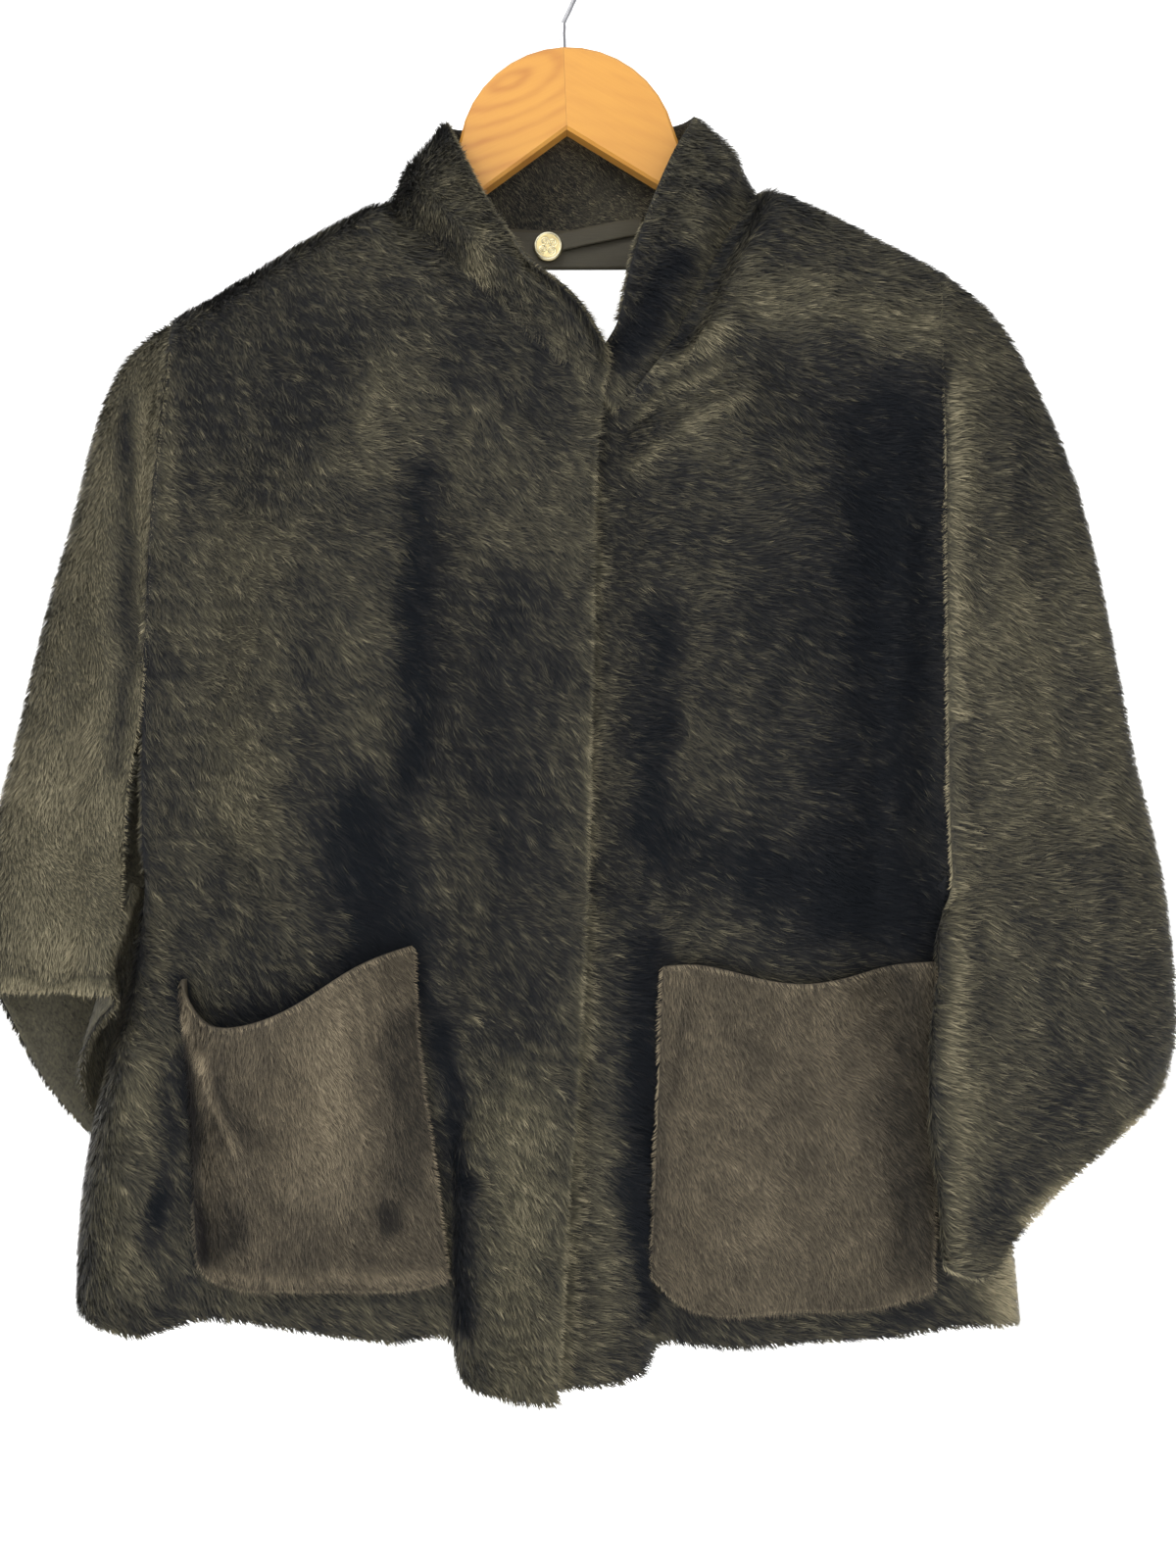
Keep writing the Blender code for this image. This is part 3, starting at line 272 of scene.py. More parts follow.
def outer_side(node, middle, wall, reach=1.6):
    """The side of a cut piece that faces away from middle, as an open sheet of quads.

    Its raw edges are left off: they are where a ray into the cloth goes on for
    more than reach times the wall.
    """
    bm = bmesh.new()
    bm.from_mesh(bpy.data.objects[node].data)
    bmesh.ops.remove_doubles(bm, verts=bm.verts, dist=WELD)
    bm.normal_update()
    bm.faces.ensure_lookup_table()
    rays = BVHTree.FromBMesh(bm)
    loose = set()
    for face in bm.faces:
        inside = face.calc_center_median() - face.normal * 0.1 * MM
        hit = rays.ray_cast(inside, -face.normal)
        if hit[0] is not None and hit[3] < reach * wall:
            loose.add(face.index)
    keep = set()
    for start in range(len(bm.faces)):
        if start not in loose:
            continue
        loose.discard(start)
        side, front = [start], [start]
        while front:
            for edge in bm.faces[front.pop()].edges:
                for face in edge.link_faces:
                    if face.index in loose and edge.calc_face_angle(0) < SHARP:
                        loose.discard(face.index)
                        side.append(face.index)
                        front.append(face.index)
        area = facing = 0
        for face in (bm.faces[i] for i in side):
            area += face.calc_area()
            away = (face.calc_center_median() - middle) * Vector((1, 1, 0))
            facing += away.dot(face.normal) * face.calc_area()
        if facing > 0 and area > SCRAP:
            keep.update(side)
    bmesh.ops.delete(bm, geom=[f for f in bm.faces if f.index not in keep], context="FACES")
    bmesh.ops.join_triangles(bm, faces=bm.faces, angle_face_threshold=FLAT_PAIR,
                             angle_shape_threshold=ANY_SHAPE)
    rims = [edge for edge in bm.edges if edge.is_boundary]
    bmesh.ops.holes_fill(bm, edges=rims, sides=SMALL_HOLE)
    return bm


def as_mesh(obj):
    """The object's mesh with its modifiers applied."""
    bpy.context.view_layer.update()
    graph = bpy.context.evaluated_depsgraph_get()
    return bpy.data.meshes.new_from_object(obj.evaluated_get(graph))


def show(name, mesh, finish):
    """The mesh as an object of its own, in this finish."""
    mesh.materials.clear()
    mesh.materials.append(finish.material)
    mesh.name = name
    piece = bpy.data.objects.new(name, mesh)
    bpy.context.scene.collection.objects.link(piece)
    return piece


WAVE_RATES = (0.6, 1.3)    # how often the sine waves come, times once per bump
WAVE_GAIN = 1.9            # brings their mean back to about -1 to 1


def waves(points, size, seed, count=7):
    """A smooth uneven value, about -1 to 1, at each point, with bumps of this size.

    It is made of count sine waves, each of which runs its own way.
    """
    rng = np.random.default_rng(seed)
    total = np.zeros(len(points))
    for _ in range(count):
        way = rng.normal(size=3)
        way *= 2 * math.pi / size / np.linalg.norm(way) * rng.uniform(*WAVE_RATES)
        total += np.sin(points @ way + rng.uniform(0, 2 * math.pi))
    return total / count * WAVE_GAIN


def smooth_sheet(bm, inwards, hem_lift=4 * MM, nudges=()):
    """Moves the sheet in from the pile's tips to its backing, its hem up, and rounds it.

    Before that each nudge, (place, move) in millimetres, moves the point nearest to place.
    """
    for place, move in nudges:
        nearest = min(bm.verts, key=lambda vert: (vert.co - Vector(place) * MM).length)
        nearest.co += Vector(move) * MM
    bm.normal_update()
    moves = {}
    for vert in bm.verts:
        move = -vert.normal * inwards
        rims = [e for e in vert.link_edges if len(e.link_faces) == 1]
        for edge in rims:
            face = edge.link_faces[0]
            out = (edge.verts[0].co + edge.verts[1].co) / 2 - face.calc_center_median()
            out -= out.dot(face.normal) * face.normal
            if out.normalized().z < POINTS_DOWN:
                move += Vector((0, 0, hem_lift / len(rims)))
        moves[vert] = move
    for vert, move in moves.items():
        vert.co += move
    mesh = bpy.data.meshes.new("sheet")
    bm.to_mesh(mesh)
    bm.free()
    holder = bpy.data.objects.new("sheet", mesh)
    bpy.context.scene.collection.objects.link(holder)
    rounding = holder.modifiers.new("rounding", "SUBSURF")
    rounding.levels = rounding.render_levels = 2
    rounding.boundary_smooth = "PRESERVE_CORNERS"
    done = as_mesh(holder)
    bpy.data.objects.remove(holder)
    return done


def arrays(mesh):
    """Points, their normals and the triangles of a mesh."""
    points = np.empty(len(mesh.vertices) * 3)
    mesh.vertices.foreach_get("co", points)
    normals = np.empty(len(mesh.vertices) * 3)
    mesh.vertices.foreach_get("normal", normals)
    mesh.calc_loop_triangles()
    corners = np.empty(len(mesh.loop_triangles) * 3, int)
    mesh.loop_triangles.foreach_get("vertices", corners)
    return points.reshape(-1, 3), normals.reshape(-1, 3), corners.reshape(-1, 3)


def unit(ways):
    return ways / np.maximum(np.linalg.norm(ways, axis=1, keepdims=True), 1e-12)


def roots_on(mesh, count, rng):
    """Evenly scattered points on a mesh, with the mesh's normals there."""
    points, normals, tris = arrays(mesh)
    a, b, c = (points[tris[:, k]] for k in range(3))
    area = np.linalg.norm(np.cross(b - a, c - a), axis=1) / 2
    reach = np.cumsum(area)
    spots = (np.arange(count) + rng.random(count)) / count * reach[-1]
    tri = np.minimum(np.searchsorted(reach, spots), len(tris) - 1)
    u, v = rng.random(count), rng.random(count)
    fold = u + v > 1
    u[fold], v[fold] = 1 - u[fold], 1 - v[fold]
    share = np.column_stack([1 - u - v, u, v])[:, :, None]
    roots = (points[tris[tri]] * share).sum(1)
    return roots, unit((normals[tris[tri]] * share).sum(1))


def rim_roots(mesh, spacing, rng):
    """Points along the free edges, with the cloth's normal and the way out there."""
    bm = bmesh.new()
    bm.from_mesh(mesh)
    bm.normal_update()
    roots, normals, ways = [], [], []
    for edge in bm.edges:
        if len(edge.link_faces) != 1:
            continue
        face = edge.link_faces[0]
        one, two = (v.co for v in edge.verts)
        out = (one + two) / 2 - face.calc_center_median()
        out -= out.dot(face.normal) * face.normal
        run = (two - one).normalized()
        out = (out - out.dot(run) * run).normalized()
        amount = (two - one).length / spacing
        for _ in range(int(amount) + (rng.random() < amount % 1)):
            t = rng.random()
            roots.append(one.lerp(two, t))
            normals.append(edge.verts[0].normal.lerp(edge.verts[1].normal, t))
            ways.append(out)
    bm.free()
    return [np.array(v).reshape(-1, 3) for v in (roots, normals, ways)]


# The locks' length on the cloth and on a hem's edge, their width, the height they
# rise to, how much paler edges are painted as painted rim light, how uneven the
# locks' tone is, the nap's way.
Pile = namedtuple("Pile", "length edge width rise glow streak nap")
LONG_PILE = Pile(7.5 * MM, 4.5 * MM, 0.72 * MM, PILE, 0.14, 0.20, (0.80, 0.0, -0.60))
SIDE_FRINGE = 4.0 * MM     # length on upright and upper edges
LENGTHS = (0.65, 1.1)      # spread of the lengths, times the pile's
WIDTHS = (0.7, 1.2)        # and of the widths
BUMPS = (9 * MM, 0.15)     # size of the bumps in the pile, share that they rise
UNEVEN = 0.12              # and the share that single locks do
FRINGE_RISE = (-0.3, 0.8)  # an edge's locks rise or hang this share of the pile's rise
HEM_WAY = 0.4              # an edge that faces down at least this much is a hem
TOP_WAY = 0.3              # one that faces up this much is a top edge,
OUT_ON_TOP = 0.2           # and its locks go on along the nap, hardly outwards
OUT = 1.2                  # how far out those of all other edges are turned
SWIRLS = ((90 * MM, 0.34), (22 * MM, 0.26))   # size of the nap's swirls, radians they turn
STRAY = 0.16               # radians that single locks stray from the nap
TWIST = 0.5                # radians that they are rolled about their length
TUFT = 0.45                # how far a lock's shading turns from the cloth's to its own
STREAKS = 3.0 * MM         # how far apart darker and paler streaks lie
STREAK_STRETCH = 0.72      # how much longer they are along the nap: 0 not, 1 endless
GRAIN = 0.06               # spread of tone from lock to lock
PALE_LOCKS = 0.03          # share of locks painted paler, as painted glints,
PALER = 0.2                # and by how much


def blades(name, root, tip, across, normal, tone, finish):
    """Flat pointed locks of pile in one mesh. tone runs from 0 dark to 1 pale."""
    count = len(root)
    points = np.stack([root + across, root - across, tip], 1)
    corners = np.arange(count * 3)
    mesh = bpy.data.meshes.new(name)
    mesh.vertices.add(count * 3)
    mesh.vertices.foreach_set("co", points.ravel())
    mesh.loops.add(count * 3)
    mesh.loops.foreach_set("vertex_index", corners)
    mesh.polygons.add(count)
    mesh.polygons.foreach_set("loop_start", corners[::3].copy())
    mesh.update(calc_edges=True)
    tones = np.repeat(tone, 3)
    along = np.tile([0.0, 0.0, 1.0], count)
    bake_place = np.column_stack([tones, along])
    for label, values in (("fur_tone", tones), ("fur_along", along)):
        mesh.attributes.new(label, "FLOAT", "POINT").data.foreach_set("value", values)
    mesh.uv_layers.new(name="OFBake").data.foreach_set("uv", bake_place.ravel())
    mesh.normals_split_custom_set_from_vertices(np.repeat(normal, 3, axis=0))
    return show(name, mesh, finish)


def grow(name, sheet, count, finish, tone, seed, pile=LONG_PILE, flip=False, only=None):
    """Pile over a sheet and round its edges, brushed along the pile's nap.

    flip grows it on the sheet's other side, and only is a test for the places to keep.
    """
    rng = np.random.default_rng(seed)
    roots, normals = roots_on(sheet, count, rng)
    edge, edge_normals, out = rim_roots(sheet, RIM_SPACING, rng)
    on_edge = np.arange(len(roots) + len(edge)) >= len(roots)
    downwards = np.concatenate([np.zeros(len(roots)), -out[:, 2]])
    roots = np.concatenate([roots, edge])
    normals = np.concatenate([normals, edge_normals]) * (-1 if flip else 1)
    brush = np.array(pile.nap)
    way = brush - normals * (normals @ brush)[:, None]
    way[on_edge] += out * np.where(out[:, 2:] > TOP_WAY, OUT_ON_TOP, OUT)
    way = unit(way)
    if only:
        kept = only(roots)
        roots, normals, way = roots[kept], normals[kept], way[kept]
        on_edge, downwards = on_edge[kept], downwards[kept]
    count = len(roots)
    turn = sum(angle * waves(roots, size, seed + k) for k, (size, angle) in enumerate(SWIRLS))
    turn += rng.normal(0, STRAY, count)
    side = np.cross(normals, way)
    way = way * np.cos(turn)[:, None] + side * np.sin(turn)[:, None]
    edge_length = np.where(downwards > HEM_WAY, pile.edge, SIDE_FRINGE)
    length = np.where(on_edge, edge_length, pile.length) * rng.uniform(*LENGTHS, count)
    bump, swell = BUMPS
    rise = 1 - swell + swell * waves(roots, bump, seed + 2) + rng.normal(0, UNEVEN, count)
    rise *= pile.rise * np.where(on_edge, rng.uniform(*FRINGE_RISE, count), 1.0)
    tip = roots + way * length[:, None] + normals * rise[:, None]
    twist = rng.normal(0, TWIST, count)[:, None]
    across = unit(np.cross(normals, way)) * np.cos(twist) + normals * np.sin(twist)
    own = unit(np.cross(tip - roots, across))
    width = pile.width * rng.uniform(*WIDTHS, count)
    brush /= np.linalg.norm(brush)
    drawn_out = roots - STREAK_STRETCH * (roots @ brush)[:, None] * brush
    streak = waves(drawn_out, STREAKS, seed + 4, 16)
    # locks on the edges are painted paler, as painted rim light
    shade = tone(roots) + np.where(on_edge, pile.glow, 0.0) + rng.normal(0, GRAIN, count)
    shade += pile.streak * (streak + 0.7 * streak * streak - 0.2)   # few pale, many dark
    # a few locks are painted paler: painted glints
    shade += PALER * (rng.random(count) < PALE_LOCKS)
    return blades(name, roots, tip, across * width[:, None] / 2,
                  unit(normals * (1 - TUFT) + own * TUFT), np.clip(shade, *TONES), finish)


ROOT_SHADE = 0.45          # tone of a lock's root, as a share of its tip's: painted shade deep in the pile


def pelt(name, stops):
    """Pile fibres, painted dark at the root as shade deep in the pile, and lightest at the tip.
    """
    finish = Finish(name, 0.6, Specular_IOR_Level=0.10, Sheen_Weight=0.03, Sheen_Roughness=0.4)
    tone = finish.node("ShaderNodeAttribute", {"attribute_name": "fur_tone"}, output="Fac")
    along = finish.node("ShaderNodeAttribute", {"attribute_name": "fur_along"}, output="Fac")
    shade = (tone * (ROOT_SHADE + along * (1 - ROOT_SHADE))).clamp()
    finish.set("Base Color", finish.ramp(shade, *stops))
    return finish


def underfur(name, stops):
    """The knitted backing and the short underfur on it, seen between the locks."""
    finish = Finish(name, 0.9, Specular_IOR_Level=0.2)
    tone = finish.node("ShaderNodeAttribute", {"attribute_name": "fur_tone"}, output="Fac")
    fluff = finish.cloud(finish.place((1.0, 1.0, 0.6)), 700.0, 2.0)
    # the tone carries the pile's painted shade and highlights, dimmed by the fluff
    finish.set("Base Color", finish.ramp((tone * (0.3 + fluff * 0.5)).clamp(), *stops))
    finish.dents(fluff, 0.5 * MM)
    return finish


FUR_STOPS = ((0.0, (0.003, 0.0045, 0.007)), (0.2, (0.018, 0.018, 0.018)),
             (0.45, (0.087, 0.079, 0.052)), (0.85, (0.33, 0.288, 0.185)),
             (1.0, (0.78, 0.64, 0.36)))
FUR = pelt("dark_fur", FUR_STOPS)
UNDERFUR = underfur("dark_underfur", FUR_STOPS)


def thicken(name, sheet, finish, tone, wall=BACKING):
    """A closed sheet of cloth, laid on the inner side of an open one."""
    holder = bpy.data.objects.new("cloth", sheet)
    bpy.context.scene.collection.objects.link(holder)
    wall_maker = holder.modifiers.new("wall", "SOLIDIFY")
    wall_maker.thickness = wall
    wall_maker.offset = -1
    mesh = as_mesh(holder)
    bpy.data.objects.remove(holder)
    mesh.shade_smooth()
    # for a fur's cloth this tone carries the same painted shade and highlights as its pile
    shade = np.clip(tone(arrays(mesh)[0]), *TONES)
    mesh.attributes.new("fur_tone", "FLOAT", "POINT").data.foreach_set("value", shade)
    return show(name, mesh, finish)


# Painted shade and painted highlights: where the pile lies away from the eye, in a
# valley or in a shadow, it is painted darker, and where it lies towards the eye or
# on a swell it is painted paler. They are soft bands from x0, z0 to x1, z1, in
# millimetres, with the tone that is added at their middle.
Band = namedtuple("Band", "x0 z0 x1 z1 width tone")
FRONT_LIGHT_AND_SHADE = [
    # painted shade in the valley down the wearer's right chest and over the pockets
    Band(-75, -325, -81, -483, 12, -0.34), Band(-110, -515, -91, -573, 27, -0.42),
    Band(-186, -622, -141, -611, 8, -0.25), Band(-141, -611, -89, -581, 8, -0.3),
    # painted shade beside the wearer's right sleeve, and a painted highlight on the seam above
    # it
    Band(-235, -283, -237, -600, 8, -0.25), Band(-213, -272, -217, -346, 4, 0.22),
    # painted shade in the valleys beside the front edges, down to the hem
    Band(-84, -581, -65, -631, 6, -0.25), Band(-65, -631, -53, -710, 7, -0.36),
    Band(-53, -710, -51, -782, 6, -0.34), Band(47, -581, 42, -726, 11, -0.42),
    Band(42, -726, 47, -774, 7, -0.35),
    # painted shade on the wearer's left chest, brushed flat, and a painted highlight at the
    # corner of the hem below it, where light comes through its fringe
    Band(187, -293, 170, -547, 40, -0.36), Band(70, -530, 191, -573, 26, -0.30),
    Band(100, -185, 48, -277, 7, -0.16), Band(244, -745, 250, -785, 14, 0.55),
    Band(55, -399, 50, -526, 11, -0.22), Band(123, -367, 117, -473, 37, -0.08),
    # painted highlights on swells of the wearer's right chest and the front edge, and painted
    # shade between
    Band(-173, -367, -170, -505, 24, 0.16), Band(-100, -272, -107, -325, 14, 0.16),
    Band(9, -367, 12, -568, 14, 0.03), Band(-20, -668, -15, -811, 22, 0.23),
    Band(25, -652, 22, -811, 8, 0.14), Band(-30, -400, -25, -600, 26, -0.13),
    # a painted highlight along the front edge itself
    Band(21, -320, 18, -473, 3, 0.20), Band(18, -473, 15, -600, 3, 0.26),
    Band(15, -600, 2, -827, 3, 0.26),
    # painted highlights on folds that fan out from the neck over the wearer's left chest
    Band(30, -280, 92, -245, 5, 0.40), Band(41, -320, 103, -279, 4, 0.26),
    Band(36, -298, 84, -262, 2.5, 0.24), Band(112, -225, 202, -241, 16, 0.22),
    # painted highlights and shade beside and below the pockets, and painted shade below the
    # collar
    Band(-232, -642, -241, -763, 13, 0.20), Band(-216, -642, -220, -742, 5, -0.25),
    Band(-220, -724, -220, -729, 8, -0.25), Band(-207, -605, -196, -753, 6, -0.36),
    Band(-141, -782, -67, -784, 8, 0.06), Band(65, -784, 197, -782, 7, -0.05),
    Band(-4, -230, 38, -262, 13, -0.06), Band(-126, -246, -141, -293, 16, -0.10),
]
# painted shade in the back's troughs, painted highlights on its ridges, and a painted highlight
# where light comes through the fringe at the hem's corner
BACK_LIGHT_AND_SHADE = [
    Band(-140, -260, -120, -560, 26, -0.2), Band(-60, -420, -45, -780, 18, -0.25),
    Band(35, -240, 25, -700, 22, 0.14), Band(105, -380, 120, -790, 20, -0.28),
    Band(175, -280, 160, -600, 24, 0.16), Band(-185, -500, -200, -780, 16, 0.12),
    Band(244, -745, 250, -785, 14, 0.55),
]
# Random patches of painted sheen, where the pile is brushed up or crushed: how large they are
# and how much tone they add.
CRUSHED = ((80 * MM, 0.05), (30 * MM, 0.05), (12 * MM, 0.04))
TALL = np.array((1.0, 1.0, 0.6))   # they are longer down the cloth
PATCH_EDGE = 1.8           # the larger, the sharper their edges
DRIFT = 9 * MM             # how far they wander
BAND_DRIFT = 3 * MM        # how far bands wander off their lines
SIDE_SEAM = 4 * MM         # over how much depth bands fade out at the sides


def nearness(points, line):
    """1 on a line from x0, z0 to x1, z1, falling softly to 0 past its width."""
    x, z = points[:, 0] / MM - line.x0, points[:, 2] / MM - line.z0
    dx, dz = line.x1 - line.x0, line.z1 - line.z0
    t = np.clip((x * dx + z * dz) / (dx * dx + dz * dz), 0, 1)
    return np.exp(-((x - t * dx) ** 2 + (z - t * dz) ** 2) / line.width ** 2)


def shaded(plain, bands, seed, crushed=CRUSHED, face=-1):
    """Tone of the pile at each point: bands of painted shade and highlights, and patches of
    painted sheen, on a plain ground.

    The bands show on the cape's front (face -1) or on its back (1).
    """
    def tone(points):
        drift = np.column_stack([waves(points, 45 * MM, seed + k) for k in (50, 51, 52)])
        total = np.full(len(points), plain)
        shown = 1 / (1 + np.exp(-face * points[:, 1] / SIDE_SEAM))
        for band in bands:
            total += band.tone * shown * nearness(points + drift * BAND_DRIFT, band)
        spots = (points + drift * DRIFT) * TALL
        for size, strength in crushed:
            patch = np.tanh(PATCH_EDGE * waves(spots, size, seed + int(size / MM)))
            total += strength * patch
        return total
    return tone


# Creases: what lies near the line moves by dx, dy, dz, all in millimetres. A trough
# goes in, a ridge out.
Crease = namedtuple("Crease", "x0 z0 x1 z1 width dx dy dz")
EDGE_ON = 0.3              # share of a crease that cloth seen edge-on moves by
FRONT_CREASES = [
    # the swell of the lapped front edges stands up steeply from the valleys beside it
    Crease(-42, -690, -40, -824, 11, -9, -4, -5), Crease(40, -700, 38, -822, 10, 7, -4, -3),
    # drag lines that fan out from the neck
    Crease(30, -280, 95, -243, 7, 0, -3.5, 0), Crease(41, -322, 105, -280, 7, 0, -3, 0),
    Crease(36, -301, 99, -261, 5, 0, 3, 0), Crease(110, -232, 200, -250, 14, 0, -3, 0),
    # hollows and swells of the chest
    Crease(-76, -325, -81, -490, 13, 0, 4, 0), Crease(-170, -370, -168, -510, 26, 0, -3.5, 0),
    Crease(188, -300, 178, -540, 16, 0, 4, 0), Crease(60, -400, 54, -530, 12, 0, 3, 0),
    Crease(-236, -640, -240, -765, 9, 0, -3, 0), Crease(-217, -640, -220, -745, 7, 0, 3.5, 0),
    # the ends of the neck seam lie down under the collar
    Crease(119, -151, 116, -153, 10, 0, 0, -4), Crease(-97, -160, -95, -162, 9, 0, 0, -2),
]
BACK_CREASES = [
    Crease(-140, -260, -120, -560, 20, 0, -3.5, 0), Crease(-60, -420, -45, -780, 14, 0, -4, 0),
    Crease(35, -240, 25, -700, 20, 0, 3, 0), Crease(105, -380, 120, -790, 15, 0, -4, 0),
    Crease(175, -280, 160, -600, 18, 0, 3, 0), Crease(-185, -500, -200, -780, 13, 0, 3, 0),
    Crease(119, -151, 116, -153, 10, 0, 0, -4), Crease(-97, -160, -95, -162, 9, 0, 0, -2),
]


def creased(sheet, creases, face=-1):
    """The sheet drawn along its creases, on its front (face -1) or its back (1).

    With face 0 both sides move, by the EDGE_ON share of each crease.
    """
    points, normals, _ = arrays(sheet)
    side = np.clip(EDGE_ON + 2 * face * normals[:, 1], 0, 1)[:, None]
    moved = points.copy()
    for crease in creases:
        shift = np.array((crease.dx, crease.dy, crease.dz)) * MM
        moved += nearness(points, crease)[:, None] * side * shift
    sheet.vertices.foreach_set("co", moved.ravel())
    sheet.update()
    return sheet


BODY_MIDDLE = Vector((0, 0, -0.5))
# How many locks a piece has, its flat width and length in metres and its area.
Cut = namedtuple("Cut", "node locks width length area tone creases pile seed")
LEFT_NAP = (0.93, 0.0, -0.36)
PANELS = [
    Cut("front_right", 138000, 0.28, 0.68, 0.165, shaded(0.42, FRONT_LIGHT_AND_SHADE, 11),
        FRONT_CREASES, LONG_PILE, 11),
    Cut("front_left", 138000, 0.30, 0.66, 0.165, shaded(0.40, FRONT_LIGHT_AND_SHADE, 12),
        FRONT_CREASES, LONG_PILE._replace(nap=LEFT_NAP), 12),
    Cut("back", 128000, 0.56, 0.68, 0.325, shaded(0.45, BACK_LIGHT_AND_SHADE, 13, face=1),
        BACK_CREASES, LONG_PILE, 13),
]
for cut in PANELS:
    sheet = smooth_sheet(outer_side(cut.node, BODY_MIDDLE, CLOTH), PILE)
    creased(sheet, cut.creases, 1 if cut.node == "back" else -1)
    fur = grow(cut.node + "_fur", sheet, cut.locks, FUR, cut.tone, cut.seed, cut.pile)
    cloth = thicken(cut.node + "_cloth", sheet, UNDERFUR, cut.tone)
    for piece in (cloth, fur):
        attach(piece, "root")
    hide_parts(cut.node)

# ---------------------------------------------------------------- the sleeves
# Two wide dropped sleeves of the same fur, folded over at the shoulder line and
# seamed under the arm. They hang from the armhole seams, and their hems are
# faced inside with a strip of the fur.
FACING = 130 * MM          # how far up the sleeve the strip goes
FACING_LOCKS = 34000
SHEARED = Pile(5.5 * MM, 3.0 * MM, 0.65 * MM, 3.4 * MM, 0.22, 0.07, (0.42, 0.0, -0.91))
# painted shade beside the body and under the cuff's hem, and painted highlights on the sleeves'
# folds, seams and hem edges
RIGHT_SLEEVE_LIGHT_AND_SHADE = [
    Band(-241, -280, -239, -483, 6, -0.30), Band(-293, -494, -272, -601, 27, 0.14),
    Band(-310, -596, -234, -597, 1.6, -0.24), Band(-310, -604, -234, -605, 2.4, 0.16),
    Band(-229, -280, -236, -344, 5, 0.10),
    Band(-272, -649, -256, -687, 14, -0.10),
]
LEFT_SLEEVE_LIGHT_AND_SHADE = [
    Band(218, -275, 214, -451, 7, 0.32), Band(214, -451, 212, -548, 6, 0.20),
    Band(214, -548, 211, -762, 7, 0.26), Band(279, -660, 231, -724, 19, -0.16),
    Band(252, -301, 263, -344, 21, -0.06), Band(247, -366, 252, -548, 21, 0.08),
    # a painted highlight of light coming through the fringe of the slanting hem
    Band(343, -659, 250, -729, 4, 0.80),
]
RIGHT_SLEEVE_CREASES = [
    Crease(-231, -250, -233, -420, 8, 0, 3, 0),
    Crease(-285, -380, -296, -560, 18, 0, -3, 0), Crease(-262, -420, -268, -590, 10, 0, 2.5, 0),
]
LEFT_SLEEVE_CREASES = [
    # the fold beside the body laps over the pocket's edge
    Crease(211, -575, 205, -748, 15, -17, -7, 0), Crease(222, -280, 218, -540, 7, 0, -3, 0),
    Crease(245, -360, 250, -560, 18, 0, -4, 0), Crease(272, -330, 292, -640, 14, 0, 3.5, 0),
    Crease(236, -590, 240, -740, 9, 0, 3, 0), Crease(300, -480, 318, -660, 12, 0, -3, 0),
]
# The whole of the same fold moves over the pocket, and the slanting hem is drawn up.
BOTH_SIDES = [Crease(213, -575, 206, -755, 16, -20, -8, 0),
              Crease(262, -750, 348, -674, 28, -26, 0, 40)]
# the right sleeve has its own random patches of painted sheen
SLEEVES = [
    Cut("sleeve_right", 80000, 0.30, 0.42, 0.098,
        shaded(0.68, RIGHT_SLEEVE_LIGHT_AND_SHADE, 21, ((60 * MM, 0.05), (14 * MM, 0.04))),
        RIGHT_SLEEVE_CREASES, SHEARED, 21),
    Cut("sleeve_left", 112000, 0.36, 0.56, 0.158, shaded(0.47, LEFT_SLEEVE_LIGHT_AND_SHADE, 22),
        LEFT_SLEEVE_CREASES, LONG_PILE._replace(nap=LEFT_NAP, glow=0.40, streak=0.26), 22),
]


# The front corner of the viewer's left cuff hangs square.
CUFF_CORNER = [((-234.9, -58, -603), (4, -2, -12)), ((-234.8, -56.7, -588.5), (1, -3, -20)),
               ((-234.5, -54.7, -574), (0, -3, -10)), ((-250.2, -60.9, -605.1), (0, 0, -5)),
               ((-236.8, -48.1, -569.1), (1, -8, 0)), ((-232.1, -48.5, -559.5), (-5, -4, 0)),
               ((-229.2, -41.2, -545), (-9, -6, 0)), ((-228.7, -40.6, -512.7), (-9, -3, 0)),
               ((-228.6, -39.7, -480.4), (-6, -1, 0))]


def near_hem(sheet, reach):
    """A test for points that lie within reach of the sheet's lower edge."""
    edge, _, out = rim_roots(sheet, 4 * MM, np.random.default_rng(5))
    hem = [Vector(point) for point, way in zip(edge, out) if way[2] < POINTS_DOWN]
    tree = KDTree(len(hem))
    for index, point in enumerate(hem):
        tree.insert(point, index)
    tree.balance()
    return lambda points: np.array([tree.find(point)[2] < reach for point in points])


for cut in SLEEVES:
    low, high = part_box(cut.node)
    middle = (Vector(low) + Vector(high)) / 2
    sheet = smooth_sheet(outer_side(cut.node, middle, CLOTH), PILE,
                         nudges=CUFF_CORNER if cut.node == "sleeve_right" else ())
    creased(sheet, cut.creases)
    if cut.node == "sleeve_left":
        creased(sheet, BOTH_SIDES, 0)
    fur = [
        grow(cut.node + "_fur", sheet, cut.locks, FUR, cut.tone, cut.seed, cut.pile),
        grow(cut.node + "_facing_fur", sheet, FACING_LOCKS, FUR,
             shaded(0.34, [], cut.seed + 3), cut.seed + 3, flip=True,
             only=near_hem(sheet, FACING)),
    ]
    cloth = thicken(cut.node + "_cloth", sheet, UNDERFUR, cut.tone)
    for piece in [cloth] + fur:
        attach(piece, "root")
    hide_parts(cut.node)
    cut.node.replace("sleeve", "front") + "_cloth"

# ---------------------------------------------------------------- the collar
# A soft stand collar of two layers of the same fur, sewn round the neck and
# turned at its top edge, so that it is furry on both sides.
COLLAR_WALL = 10.4 * MM
COLLAR_REACH = 1.2         # a ray into a raw edge goes on for more than this many walls
COLLAR_FOOT = -8 * MM      # its lower edge is drawn down, over the neck seam
COLLAR_LOCKS = 30000       # on each side
